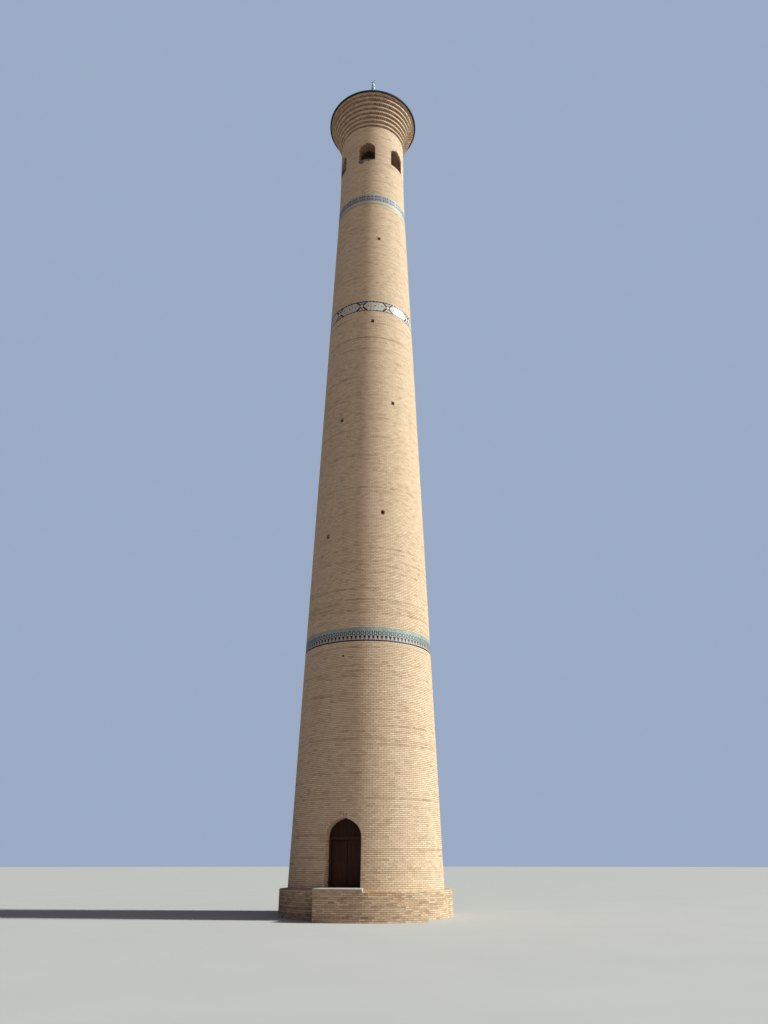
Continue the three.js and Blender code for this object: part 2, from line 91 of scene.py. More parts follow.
class Wire:
    """A shader socket that adds up like a number and starts new nodes in its own tree."""

    def __init__(self, tree, socket=None):
        self.tree = tree
        self.socket = socket

    def node(self, kind, settings=None, inputs=None, out=0):
        """Adds a node. Settings are set first, then each input gets its value or its link."""
        made = self.tree.nodes.new(kind)
        for name, value in (settings or {}).items():
            if name == "stops":
                elements = made.color_ramp.elements
                elements.remove(elements[1])
                elements[0].position, elements[0].color = value[0]
                for position, colour in value[1:]:
                    elements.new(position).color = colour
            else:
                setattr(made, name, value)
        for name, value in (inputs or {}).items():
            if isinstance(value, Wire):
                self.tree.links.new(value.socket, made.inputs[name])
            else:
                made.inputs[name].default_value = value
        if isinstance(out, tuple):
            return [Wire(self.tree, made.outputs[i]) for i in out]
        return Wire(self.tree, made.outputs[out] if made.outputs else None)

    def math(self, operation, *terms):
        return self.node("ShaderNodeMath", {"operation": operation}, dict(enumerate(terms)))

    def __add__(self, other):
        return self.math("ADD", self, other)

    def __sub__(self, other):
        return self.math("SUBTRACT", self, other)

    def __rsub__(self, other):
        return self.math("SUBTRACT", other, self)

    def __mul__(self, other):
        return self.math("MULTIPLY", self, other)

    def __truediv__(self, other):
        return self.math("DIVIDE", self, other)

    def __pow__(self, other):
        return self.math("POWER", self, other)

    def __gt__(self, other):
        return self.math("GREATER_THAN", self, other)

    def __lt__(self, other):
        return self.math("LESS_THAN", self, other)

    def __abs__(self):
        return self.math("ABSOLUTE", self)

    __radd__ = __add__
    __rmul__ = __mul__

    def repeat(self):
        """What is left above the whole number below."""
        return self.math("FRACT", self)

    def clamp(self):
        return self.node("ShaderNodeClamp", None, {0: self})

    def blend(self, low, high):
        """A colour between two, by this value."""
        return self.node("ShaderNodeMix", {"data_type": "RGBA"}, {0: self, 6: low, 7: high}, 2)

    def ramp(self, *stops):
        return self.node("ShaderNodeValToRGB", {"stops": stops}, {0: self})

    def parts(self):
        return self.node("ShaderNodeSeparateXYZ", None, {0: self}, (0, 1, 2))

    def noise(self, scale, detail=4.0, stretch=(1, 1, 1)):
        """A cloudy value about 0.5 over this place."""
        vector = self.node("ShaderNodeMapping", None, {"Vector": self, "Scale": stretch})
        inputs = {"Vector": vector, "Scale": scale, "Detail": detail}
        return self.node("ShaderNodeTexNoise", None, inputs)


def add_lamp(name, bearing, height, strength, softness, colour):
    """A far lamp at a bearing, counted from -Y towards +X, and an angle above the floor."""
    data = bpy.data.lights.new(name, "SUN")
    data.energy = strength
    data.angle = softness
    data.color = colour
    lamp = bpy.data.objects.new(name, data)
    lamp.rotation_euler = Euler((math.pi / 2 - height, 0, bearing), "XYZ")
    bpy.context.collection.objects.link(lamp)


add_lamp("key_lamp", KEY_BEARING, KEY_HEIGHT, KEY_STRENGTH, KEY_SOFTNESS, KEY_COLOUR)
add_lamp("fill_lamp", FILL_BEARING, FILL_HEIGHT, FILL_STRENGTH, FILL_SOFTNESS, FILL_COLOUR)
world = bpy.data.worlds.new("studio")
world.use_nodes = True
world.node_tree.nodes.clear()
studio = Wire(world.node_tree)
room = {"Color": ROOM_COLOUR, "Strength": ROOM_STRENGTH}
room = studio.node("ShaderNodeBackground", None, room)
wall = studio.node("ShaderNodeBackground", None, {"Color": WALL_COLOUR})
seen = studio.node("ShaderNodeLightPath")
both = studio.node("ShaderNodeMixShader", None, {0: seen, 1: room, 2: wall})
studio.node("ShaderNodeOutputWorld", None, {"Surface": both})
bpy.context.scene.world = world
bpy.context.scene.view_settings.view_transform = "Standard"

# The studio floor is one wide pale disc, as plain as painted board. It carries the tower's shadow
# and is no part of the model.
FLOOR_RADIUS = 210
FLOOR_SIDES = 180
FLOOR_PALE = (0.45, 0.405, 0.385, 1)
FLOOR_GREY = (0.41, 0.37, 0.35, 1)


def start_finish(name):
    """A new empty material, and the place on the object in metres."""
    material = bpy.data.materials.new(name)
    material.use_nodes = True
    material.node_tree.nodes.clear()
    return material, Wire(material.node_tree).node("ShaderNodeTexCoord", out=3)


def close_finish(place, colour, roughness, height, depth, **constants):
    """Joins colour, roughness and a raised pattern, whose depth is in metres, into the surface."""
    normal = place.node("ShaderNodeBump", None, {"Height": height, "Distance": depth})
    inputs = {"Base Color": colour, "Roughness": roughness, "Normal": normal}
    inputs.update({key.replace("_", " "): value for key, value in constants.items()})
    shader = place.node("ShaderNodeBsdfPrincipled", None, inputs)
    place.node("ShaderNodeOutputMaterial", None, {"Surface": shader})


floor_finish, place = start_finish("pale_floor")
grain = place.noise(0.6)
close_finish(place, grain.blend(FLOOR_GREY, FLOOR_PALE), 0.8, grain, 0.002)
floor_mesh = bpy.data.meshes.new("floor")
floor_edge = []
for i in range(FLOOR_SIDES):
    turn = 2 * math.pi * i / FLOOR_SIDES
    floor_edge.append((FLOOR_RADIUS * math.cos(turn), FLOOR_RADIUS * math.sin(turn), 0))
floor_mesh.from_pydata(floor_edge, [], [tuple(range(FLOOR_SIDES))])
floor_mesh.materials.append(floor_finish)
floor = bpy.data.objects.new("floor", floor_mesh)
bpy.context.collection.objects.link(floor)

# The cores of the walls are the carried-over solids of brick and lime mortar. Mortar shows in the
# joints of the outer skin, and the inside of the tower is plain brickwork.
SHAFT_FOOT_RADIUS = 3.757 * METRE
SHAFT_BATTER = 0.03292
LANTERN_RADIUS = 2.265 * METRE
BRICK_LENGTH = 0.252 * METRE
COURSE = 0.085 * METRE
JOINT = 0.018 * METRE
UPRIGHT_JOINT = 0.010 * METRE
SKIN_DEPTH = 0.05 * METRE
MORTAR = (0.30, 0.215, 0.145, 1)
MORTAR_DARK = (0.17, 0.118, 0.076, 1)
CORNICE_PAINTED_SHADE = (0.07, 0.045, 0.03, 1)
INNER_BRICK_DARK = (0.27, 0.17, 0.11, 1)
INNER_BRICK_PALE = (0.46, 0.315, 0.205, 1)


def brick_core_finish():
    """Mortar outside, darkened behind the cornice as painted shade, and brickwork round the axis on
    what lies deeper.
    """
    material, place = start_finish("mortar_and_inner_brick")
    x, y, z = place.parts()
    bearing = place.math("ARCTAN2", x, 0 - y)
    radius = (x * x + y * y) ** 0.5
    outside = place.math("MAXIMUM", SHAFT_FOOT_RADIUS - SHAFT_BATTER * z, LANTERN_RADIUS)
    sand = place.noise(260, 3)
    blotch = place.noise(1.3, 5)
    mortar = (sand * 0.5 + blotch * 0.5).blend(MORTAR_DARK, MORTAR)
    # Above the cornice's foot the mortar is near black: painted shade in the cornice's recesses.
    mortar = (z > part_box("cornice_course_1")[0].z).blend(mortar, CORNICE_PAINTED_SHADE)
    wall_place = place.node("ShaderNodeCombineXYZ", None, {0: bearing * radius, 1: z})
    pattern = {
        "Vector": wall_place, "Color1": INNER_BRICK_DARK, "Color2": INNER_BRICK_PALE,
        "Mortar": MORTAR_DARK, "Scale": 1.0, "Mortar Size": JOINT / 2, "Mortar Smooth": 0.2,
        "Brick Width": BRICK_LENGTH + JOINT, "Row Height": COURSE,
    }
    laid, joints = place.node("ShaderNodeTexBrick", None, pattern, (0, 1))
    inside = radius < outside - SKIN_DEPTH
    relief = (1 - joints) * inside * 3 + sand + blotch
    close_finish(place, inside.blend(mortar, laid), 0.95 - sand * 0.1, relief, 0.0015)
    return material


def dress(material, *names):
    """Gives carried-over nodes their finish."""
    for name in names:
        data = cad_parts[name].data
        data.materials.clear()
        data.materials.append(material)


core_finish = brick_core_finish()
dress(
    core_finish,
    "plinth", "door_platform", "stair_upper_step", "stair_landing",
    *(f"stair_step_{i}" for i in range(1, 6)),
    "base_wall_left", "base_wall_right", "base_wall_back", "door_arch", "ground_floor",
    "lower_shaft", "middle_shaft", "upper_shaft", "shaft_neck",
    "lantern_floor", "lantern_sill_wall", *(f"lantern_pier_{i}" for i in range(1, 7)),
    "lantern_arch_ring", *(f"cornice_course_{i}" for i in range(1, 5)),
)

# The plinth is a round brick drum. Its face is laid in running bond with thin raked joints, and
# the ledge on top is paved with bricks laid flat, pointing at the axis.
PLINTH_RADIUS = 4.1 * METRE
PLINTH_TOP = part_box("plinth")[1].z
STAIR_RADIUS = 5.0 * METRE
RISER = 0.16 * METRE
STAIR_SIDE = 0.85 * METRE
STAIR_TREADS = [(15, 8), (18, 7), (28.5, 6), (32.5, 5), (36.5, 4), (40.5, 3), (44.5, 2), (48.5, 1)]
PROUD = 0.012 * METRE
BEDDED = 0.03 * METRE
SHORTEST_BAT = 0.015 * METRE
BRICK_WIDTH = 0.12 * METRE
BRICK_DARK = (0.235, 0.142, 0.087, 1)
BRICK_BROWN = (0.43, 0.277, 0.170, 1)
BRICK_BUFF = (0.60, 0.415, 0.270, 1)
BRICK_PALE = (0.72, 0.535, 0.370, 1)
TONE_SCATTER = 0.085
COURSE_SCATTER = 0.02
KILN_DRIFT, STREAK_DRIFT, GRIT_DRIFT = 0.16, 0.20, 0.16
BRICK_TONES = (0.0, BRICK_DARK), (0.33, BRICK_BROWN), (0.62, BRICK_BUFF), (1.0, BRICK_PALE)
DARK_RUNS_PER_COURSE = 0.44
DARK_RUN_TONE = (0.08, 0.25)
DARK_RUN_REACH = (8, 70)
DARK_RUN_CORE = 1.3
MIDDLE_TONE = 0.5
BAT_SCATTER, EDGE_SCATTER = 0.12, 0.08
BOND_SLACK = 0.04
TOES_PER_BAT = 10
UNEVEN = 0.0006
# The darker tone is painted shadow on the stair, and wear on the window sills.
CLEAN, SPLASHED, WORN_AND_SHADED = 0.65, 0.47, 0.54
WEATHERING = 1.35


def buff_brick_finish():
    """Fired clay: a tone for each brick, with kiln marks, pits, dust and rain streaks."""
    material, place = start_finish("buff_brick")
    tone = place.node("ShaderNodeAttribute", {"attribute_name": "tone"}, out=2)
    kiln = place.noise(22, 3)
    grit = place.noise(420, 2)
    streaks = place.noise(2.6, 5, (1, 1, 0.12))
    drift = (kiln - 0.5) * KILN_DRIFT + (streaks - 0.5) * STREAK_DRIFT + (grit - 0.5) * GRIT_DRIFT
    shade = (tone + drift).clamp()
    close_finish(place, shade.ramp(*BRICK_TONES), 0.95 - shade * 0.15, grit * 0.6 + kiln, 0.0015)
    return material


class Heap:
    """Blocks gathered into one mesh, each with a tone of its own."""

    def __init__(self):
        self.points = []
        self.faces = []
        self.tones = []

    def loft(self, outlines, tone=MIDDLE_TONE):
        """A closed body through outlines of like corners, anticlockwise seen from outside."""
        first = len(self.points)
        count = len(outlines[0])
        for outline in outlines:
            self.points.extend(outline)
        for ring in range(first, first + count * (len(outlines) - 1), count):
            for i in range(count):
                j = (i + 1) % count
                self.faces.append((ring + count + i, ring + count + j, ring + j, ring + i))
        last = first + count * (len(outlines) - 1)
        self.faces.append(tuple(range(first, first + count)))
        self.faces.append(tuple(range(last + count - 1, last - 1, -1)))
        self.tones.extend([tone] * (count * (len(outlines) - 1) + 2))

    def make(self, name, finish, slot, body="tower", smooth=None):
        """Closes the heap into a piece. Smooth is the angle up to which edges are rounded off."""
        mesh = bpy.data.meshes.new(name)
        mesh.from_pydata(self.points, [], self.faces)
        tones = mesh.attributes.new("tone", "FLOAT", "FACE")
        tones.data.foreach_set("value", self.tones)
        mesh.materials.append(finish)
        if smooth:
            mesh.shade_smooth()
            mesh.set_sharp_from_angle(angle=math.radians(smooth))
        piece = bpy.data.objects.new(name, mesh)
        bpy.context.collection.objects.link(piece)
        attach(piece, body)
        return piece


def round_point(bearing, radius, height):
    """A point by its bearing in degrees from -Y towards +X, radius and height."""
    angle = math.radians(bearing)
    return (radius * math.sin(angle), -radius * math.cos(angle), height)


def round_outline(plan, height):
    """A level outline through points given by bearing and radius."""
    return [round_point(bearing, radius, height) for bearing, radius in plan]


def round_block(heap, bearings, heights, fronts, backs, tone, head_bearings=None):
    """A block that follows the round. Fronts and backs are radii at the foot and at the head,
    and slanted ends have other bearings at the head."""
    left, right = bearings
    head_left, head_right = head_bearings or bearings
    foot, head = heights
    sides = [(left, foot, 0), (right, foot, 0), (head_right, head, 1), (head_left, head, 1)]
    front = [round_point(bearing, fronts[end], height) for bearing, height, end in sides]
    back = [round_point(bearing, backs[end], height) for bearing, height, end in sides]
    heap.loft([front, back], tone)


def bond(start, end, length, joint, shift):
    """The bricks of one course between two ends, as (from, to). Shift is a share of a brick."""
    left = start - shift * (length + joint)
    spans = []
    while left < end:
        low, high = max(left, start), min(left + length, end)
        if high - low > joint:
            spans.append((low, high))
        left += length + joint
    return spans


def course_tones(rng, bearings, mean, weather=1.0):
    """Tones for one course: a scatter, a slow drift and now and then darker runs of bricks."""
    tones = rng.normal(mean, TONE_SCATTER * weather, len(bearings)) + rng.normal(0, COURSE_SCATTER)
    for _ in range(rng.poisson(DARK_RUNS_PER_COURSE * weather**2)):
        middle, reach = rng.uniform(-180, 180), rng.uniform(*DARK_RUN_REACH)
        away = np.abs((bearings - middle + 180) % 360 - 180)
        tones -= rng.uniform(*DARK_RUN_TONE) * np.clip(DARK_RUN_CORE - away / reach, 0, 1)
    return tones


def clear_of(span, gaps, shortest):
    """What the openings leave of one brick, as spans at its foot and at its head. An opening is
    never wider at the head, so a brick beside an arch gets a slanted end, down to a wedge."""
    pieces = [(span, span)]
    for foot_gap, head_gap in gaps:
        kept = []
        for foot, head in pieces:
            if foot[1] <= foot_gap[0] or foot[0] >= foot_gap[1]:
                kept.append((foot, head))
                continue
            toe = shortest / TOES_PER_BAT
            before = (foot[0], max(foot_gap[0], foot[0] + toe)), (head[0], min(head[1], head_gap[0]))
            after = (min(foot_gap[1], foot[1] - toe), foot[1]), (max(head[0], head_gap[1]), head[1])
            kept += [ends for ends in (before, after) if ends[1][1] - ends[1][0] > shortest]
        pieces = kept
    return pieces


def no_gaps(low, high):
    return []


def clean_brick(bearings, height):
    return CLEAN


def round_bond(radius):
    """How many bricks go round, the step from one to the next and half a joint, in degrees."""
    bricks = round(2 * math.pi * radius / (BRICK_LENGTH + UPRIGHT_JOINT))
    return bricks, 360 / bricks, math.degrees(UPRIGHT_JOINT / radius) / 2


def lay_round(
    heap, rng, heights, radius_at, gaps_at=no_gaps, mean_at=clean_brick, course=COURSE, weather=1.0
):
    """Lays courses in running bond on a round wall, between two heights."""
    foot, head = heights
    count = round((head - foot) / course)
    pitch = (head - foot) / count
    for i in range(count):
        low = foot + i * pitch + JOINT / 2
        high = foot + (i + 1) * pitch - JOINT / 2
        radius = radius_at(low)
        bricks, step, joint = round_bond(radius)
        shift = (i % 2) * step / 2 + rng.uniform(-BOND_SLACK, BOND_SLACK) * step
        lefts = -180 + shift + step * np.arange(bricks)
        tones = course_tones(rng, lefts, mean_at(lefts, low), weather)
        outs = PROUD + rng.normal(0, UNEVEN, bricks)
        gaps = []
        for turn in (-360, 0, 360):
            gaps += [np.add(gap, turn) for gap in gaps_at(low, high)]
        shortest = math.degrees(SHORTEST_BAT / radius)
        backs = (radius_at(low) - BEDDED, radius_at(high) - BEDDED)
        for left, tone, out in zip(lefts, tones, outs):
            fronts = (radius_at(low) + out, radius_at(high) + out)
            for span, head_span in clear_of((left + joint, left + step - joint), gaps, shortest):
                round_block(heap, span, (low, high), fronts, backs, tone, head_span)


def pave_round(heap, rng, rings, bearings, top, width, mean=CLEAN):
    """Lays bricks flat on a level ledge, in rings of (inner, outer) radius."""
    start, end = bearings
    for i, (inner, outer) in enumerate(rings):
        middle = (inner + outer) / 2
        count = max(1, round(math.radians(end - start) * middle / (width + JOINT)))
        length = (end - start) / count
        joint = math.degrees(JOINT / middle)
        for left, right in bond(start, end, length - joint, joint, (i % 2) / 2):
            level = top + PROUD + rng.normal(0, UNEVEN)
            plan = [(left, outer), (right, outer), (right, inner), (left, inner)]
            outlines = [round_outline(plan, level), round_outline(plan, top - BEDDED)]
            heap.loft(outlines, rng.normal(mean, BAT_SCATTER))


def side_bearing(radius, shy=0.0):
    """The bearing at which the platform's straight left side cuts a circle."""
    return -math.degrees(math.asin((STAIR_SIDE + shy) / radius))


def beside_stair(low, high):
    """The bearings that the stair hides from the plinth's face, at a height."""
    reach = max(bearing for bearing, steps in STAIR_TREADS if steps * RISER > low)
    hidden = (side_bearing(PLINTH_RADIUS, PROUD), reach)
    return [(hidden, hidden)]


def splashed(bearings, height):
    return SPLASHED


def shaft_radius(height):
    return max(SHAFT_FOOT_RADIUS - SHAFT_BATTER * height, LANTERN_RADIUS)


buff_brick = buff_brick_finish()
rng = np.random.default_rng(3)
plinth_bricks = Heap()
lay_round(
    plinth_bricks, rng, (0, PLINTH_TOP), lambda height: PLINTH_RADIUS, beside_stair, splashed,
    weather=WEATHERING,
)
ledge_foot = shaft_radius(PLINTH_TOP) + 2 * PROUD
ledge_rim = PLINTH_RADIUS + PROUD
ledge_split = ledge_rim - BRICK_LENGTH
for inner, outer in ((ledge_foot, ledge_split - JOINT), (ledge_split, ledge_rim)):
    bearings = (STAIR_TREADS[0][0], side_bearing(inner, 2 * PROUD) + 360)
    pave_round(
        plinth_bricks, rng, [(inner, outer)], bearings, PLINTH_TOP, BRICK_WIDTH, SPLASHED
    )
plinth_bricks.make("plinth_bricks", buff_brick, "brick")

# The stair hugs the plinth: solid brick steps, laid two courses to a riser, with treads of bricks
# on edge, and stone flags with a small nosing on the platform before the door.
COURSES_PER_RISER = 2
STAIR_COURSE = RISER / COURSES_PER_RISER
TREAD_BRICK = 0.065 * METRE
SIDE_COURSES = 14
FLAG_COUNT = 7
FLAG_ROWS = 2
FLAG_SHIFT = 0.3
FLAG_NOSING = 0.03 * METRE
TREAD_DARKENING = 0.34
TREAD_DARKENING_REACH = 0.22 * METRE
FLAG_JOINT = 0.004 * METRE
FLAG_CHAMFER = 0.008 * METRE
STONE_PALE = (0.50, 0.44, 0.385, 1)
STONE_GREY = (0.37, 0.325, 0.28, 1)


def pale_stone_finish():
    """Honed limestone: fine speckle, faint beds and scuffed dust."""
    material, place = start_finish("pale_stone")
    speckle = place.noise(340, 3)
    beds = place.noise(7, 5, (1, 1, 3))
    shade = speckle * 0.35 + beds * 0.65
    close_finish(place, shade.blend(STONE_GREY, STONE_PALE), 0.75 - beds * 0.25, shade, 0.0008)
    return material


def lay_flat(heap, rng, corner, along, out, rows, mean=CLEAN):
    """Lays courses on an upright flat face. Rows are (low, high, start, end) along the face."""
    for i, (low, high, start, end) in enumerate(rows):
        for left, right in bond(start, end, BRICK_LENGTH, JOINT, (i % 2) / 2):
            face = [(left, low), (right, low), (right, high), (left, high)]
            front = [corner + along * u + out * PROUD + Vector((0, 0, z)) for u, z in face]
            back = [corner + along * u - out * BEDDED + Vector((0, 0, z)) for u, z in face]
            heap.loft([front, back], rng.normal(mean, BAT_SCATTER))


def even_rows(foot, head, count, start, end):
    """Rows of equal height between two levels, less their joints."""
    pitch = (head - foot) / count
    half = JOINT / 2
    levels = [foot + i * pitch for i in range(count)]
    return [(level + half, level + pitch - half, start, end) for level in levels]


def beyond_stair(low, high):
    """The bearings where the stair's outer face is lower than a course."""
    reach = max(bearing for bearing, steps in STAIR_TREADS if steps * RISER > low + JOINT)
    beyond = (reach, side_bearing(STAIR_RADIUS) + 360)
    return [(beyond, beyond)]


def darker_under_treads(bearings, height):
    """The face is darker just under the treads."""
    treads = np.array(STAIR_TREADS)
    below = np.interp(bearings, treads[:, 0], treads[:, 1] * RISER) - height
    return WORN_AND_SHADED - TREAD_DARKENING * np.clip(1 - below / TREAD_DARKENING_REACH, 0, 1)


pale_stone = pale_stone_finish()
rng = np.random.default_rng(4)
stair_bricks = Heap()
slab_foot, slab_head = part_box("platform_slab")[0].z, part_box("platform_slab")[1].z
landing_top = STAIR_TREADS[1][1] * RISER
# The stair's bricks take the darker tone: painted shadow over the stair.
for heights, course in (((0, landing_top), STAIR_COURSE), ((landing_top, slab_foot), COURSE)):
    lay_round(
        stair_bricks, rng, heights, lambda height: STAIR_RADIUS, beyond_stair, darker_under_treads, course,
        WEATHERING,
    )
tread_count = round((STAIR_RADIUS - PLINTH_RADIUS) / (TREAD_BRICK + JOINT))
tread_pitch = (STAIR_RADIUS - PLINTH_RADIUS - PROUD) / tread_count
tread_rings = []
for i in range(tread_count):
    inner = PLINTH_RADIUS + 2 * PROUD + i * tread_pitch
    tread_rings.append((inner, inner + tread_pitch - JOINT))
for (left, steps), (right, below) in zip(STAIR_TREADS, STAIR_TREADS[1:] + [(None, 0)]):
    angle = math.radians(left)
    outward = Vector((math.sin(angle), -math.cos(angle), 0))
    forward = Vector((math.cos(angle), math.sin(angle), 0))
    head = slab_foot if steps == STAIR_TREADS[0][1] else steps * RISER
    face_reach = STAIR_RADIUS - PLINTH_RADIUS - JOINT
    rows = even_rows(below * RISER + PROUD, head, COURSES_PER_RISER, JOINT, face_reach)
    lay_flat(stair_bricks, rng, outward * STAIR_RADIUS, -outward, forward, rows, WORN_AND_SHADED)
    if right is not None:
        nosing = math.degrees(PROUD / STAIR_RADIUS)
        bearings = (left + nosing, right + nosing)
        pave_round(stair_bricks, rng, tread_rings, bearings, below * RISER, BRICK_LENGTH, WORN_AND_SHADED)
side_wall, side_plinth, side_rim = [
    math.sqrt(radius**2 - STAIR_SIDE**2)
    for radius in (shaft_radius(PLINTH_TOP) + 2 * PROUD, PLINTH_RADIUS + 2 * PROUD, STAIR_RADIUS)
]
rows = even_rows(0, PLINTH_TOP, SIDE_COURSES, side_plinth - side_wall, side_rim - side_wall)
rows += even_rows(PLINTH_TOP, slab_foot, 1, 0, side_rim - side_wall)
side_foot = Vector((-STAIR_SIDE, -side_wall, 0))
lay_flat(stair_bricks, rng, side_foot, Vector((0, -1, 0)), Vector((-1, 0, 0)), rows, WORN_AND_SHADED)
stair_bricks.make("stair_bricks", buff_brick, "brick")

platform_flags = Heap()
flag_inner = shaft_radius(slab_foot) + PROUD + FLAG_JOINT
flag_outer = STAIR_RADIUS + FLAG_NOSING
flag_depth = (flag_outer - flag_inner) / FLAG_ROWS
for row in range(FLAG_ROWS):
    inner = flag_inner + row * flag_depth
    outer = inner + flag_depth - FLAG_JOINT
    joint = math.degrees(FLAG_JOINT / inner)
    start, end = side_bearing(inner, FLAG_NOSING), STAIR_TREADS[0][0]
    length = (end - start - joint * (FLAG_COUNT - 1)) / FLAG_COUNT
    for left, right in bond(start, end, length, joint, row * FLAG_SHIFT):
        outlines = []
        for level, inset in (
            (slab_head, FLAG_CHAMFER), (slab_head - FLAG_CHAMFER, 0), (slab_foot, 0)
        ):
            turn = math.degrees(inset / inner)
            front_ends = max(left, side_bearing(outer, FLAG_NOSING)) + turn, right - turn
            rear_ends = right - turn, left + turn
            plan = []
            for (near, far), radius in ((front_ends, outer - inset), (rear_ends, inner + inset)):
                plan += [(near, radius), ((near + far) / 2, radius), (far, radius)]
            outlines.append(round_outline(plan, level))
        platform_flags.loft(outlines)
flags = platform_flags.make("platform_flags", pale_stone, "pale_stone")
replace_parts(flags, "platform_slab")
dress(pale_stone, "door_sill", "platform_slab")

# The doorway is a deep recess under a four-centred pointed arch. Its ring is of bricks on edge,
# half a brick deep, and bricks line the sides and the underside right through the wall.
SILL_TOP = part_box("door_sill")[1].z
DOOR_RING = 0.12 * METRE
DOOR_HALF, DOOR_SPRING = 0.845 * METRE, 3.37 * METRE
DOOR_HAUNCH, DOOR_TURN, DOOR_CROWN = 0.65 * METRE, 50, 1.3 * METRE
SHAFT_VOID = 1.7 * METRE
RING_PROUD = 0.015 * METRE
PIVOT_ROOM = 5 * JOINT
VENT_HALF, VENT_RISE = 0.097 * METRE, 0.125 * METRE
VENT_BAT = 0.06 * METRE
VENT_SHY = 0.004 * METRE
# A dark tone for the linings of openings: painted shade inside them.
LINING_PAINTED_SHADE = 0.06
SMALL_VENT_HALF = 0.055 * METRE
SMALL_VENT = (-4.7, 11.59)
VENTS = [
    SMALL_VENT, (175, 15.2), (-28.1, 18.39), (30.5, 19.55), (152, 22.4), (-17.2, 25.69),
    (105, 26.5), (44.3, 26.83), (205, 29.4), (19.2, 32.74), (-71, 35.9), (190, 36.6), (28, 39.73),
    (-71, 41.6),
]


class Arch:
    """An opening under a four-centred pointed arch, by the sizes that it is cut with."""

    def __init__(self, bearing, half_width, spring, haunch, turn, crown):
        self.bearing, self.half_width, self.spring = bearing, half_width, spring
        self.haunch, self.turn, self.crown = haunch, math.radians(turn), crown
        self.haunch_x = half_width - haunch
        self.crown_x = self.haunch_x + (haunch - crown) * math.cos(self.turn)
        self.crown_z = spring + (haunch - crown) * math.sin(self.turn)
        self.apex_turn = math.acos(-self.crown_x / crown)

    def half_at(self, height, grow=0.0):
        """Half the width at a height, of the outline grown outward."""
        rise = height - self.spring
        if rise <= 0:
            return self.half_width + grow
        if rise < (self.haunch + grow) * math.sin(self.turn):
            return self.haunch_x + math.sqrt((self.haunch + grow) ** 2 - rise**2)
        reach = (self.crown + grow) ** 2 - (height - self.crown_z) ** 2
        return max(0.0, self.crown_x + math.sqrt(reach)) if reach > 0 else 0.0

    def apex(self, grow=0.0):
        return self.crown_z + math.sqrt((self.crown + grow) ** 2 - self.crown_x**2)

    def wedges(self, thickness, inner, outer):
        """Outlines (x, z) of the ring's bricks between two offsets, and their place in the ring."""
        number = 0
        for centre_x, centre_z, radius, start, end in (
            (self.haunch_x, self.spring, self.haunch, 0.0, self.turn),
            (self.crown_x, self.crown_z, self.crown, self.turn, self.apex_turn),
        ):
            count = max(1, round(radius * (end - start) / (thickness + JOINT)))
            step = (end - start) / count
            for i in range(count):
                corners = []
                for share, grow in ((0, inner), (0, outer), (1, outer), (1, inner)):
                    inset = (JOINT if share == 0 else -JOINT) / 2 / (radius + grow)
                    turn = start + (i + share) * step + inset
                    x = centre_x + (radius + grow) * math.cos(turn)
                    corners.append((x, centre_z + (radius + grow) * math.sin(turn)))
                yield number, corners
                yield number, [(-x, z) for x, z in reversed(corners)]
                number += 1

    def gap(self, low, high, radius, grow):
        """The bearings that the grown opening takes from a course, at its foot and its head."""
        if self.half_at(low, grow) <= 0:
            return []
        reaches = [math.degrees(math.asin(self.half_at(z, grow) / radius)) for z in (low, high)]
        return [[(self.bearing - reach, self.bearing + reach) for reach in reaches]]


def chord(radius, x):
    """How far out a round wall stands, at a distance beside the middle of an opening."""
    return math.sqrt(radius**2 - x**2)


def bay_point(bearing, x, distance, height):
    """A point seen square on: x to the right, and the distance out from the tower's axis."""
    angle = math.radians(bearing)
    across, away = math.cos(angle), math.sin(angle)
    return Vector((x * across + distance * away, x * away - distance * across, height))


def arch_ring(heap, rng, arch, radius, ring, mean=CLEAN):
    """The face of the arch: whole bricks on edge, and a kite-shaped key at the point."""
    key_x = ring * math.cos(arch.apex_turn)
    key_z = arch.crown_z + (arch.crown + ring) * math.sin(arch.apex_turn)
    key = [
        (0, arch.apex() + JOINT), (key_x - JOINT, key_z), (0, arch.apex(ring) - JOINT),
        (JOINT - key_x, key_z),
    ]
    outlines = [corners for number, corners in arch.wedges(COURSE - JOINT, -PROUD, ring)]
    for corners in outlines + [key]:
        front = []
        back = []
        for x, z in corners:
            face = chord(radius + RING_PROUD, x)
            front.append(bay_point(arch.bearing, x, face, z))
            back.append(bay_point(arch.bearing, x, face - BRICK_WIDTH, z))
        heap.loft([front, back], rng.normal(mean, BAT_SCATTER))


def arch_lining(heap, rng, arch, far_at, near_at, mean=CLEAN):
    """Bricks along the underside of the arch, between two distances from the axis."""
    for number, corners in arch.wedges(COURSE - JOINT, -PROUD, BEDDED):
        start, end = near_at(corners[0][0]), far_at(corners[0][0])
        for near, far in bond(start, end, BRICK_LENGTH, JOINT, (number % 2) / 2):
            front = [bay_point(arch.bearing, x, far, z) for x, z in corners]
            back = [bay_point(arch.bearing, x, near, z) for x, z in corners]
            heap.loft([front, back], rng.normal(mean, BAT_SCATTER))


def reveal_lining(heap, rng, arch, foot, courses, far_at, near_at, mean=CLEAN):
    """Bricks up both sides of an opening, from its foot to its springing."""
    near, far = near_at(arch.half_width), far_at(arch.half_width)
    turn = math.radians(arch.bearing)
    outward = Vector((math.sin(turn), -math.cos(turn), 0))
    across = Vector((math.cos(turn), math.sin(turn), 0))
    rows = even_rows(foot, arch.spring, courses, 0, far - near)
    right_foot = across * arch.half_width + outward * near
    lay_flat(heap, rng, right_foot, outward, -across, rows, mean)
    left_foot = outward * far - across * arch.half_width
    lay_flat(heap, rng, left_foot, -outward, across, rows, mean)


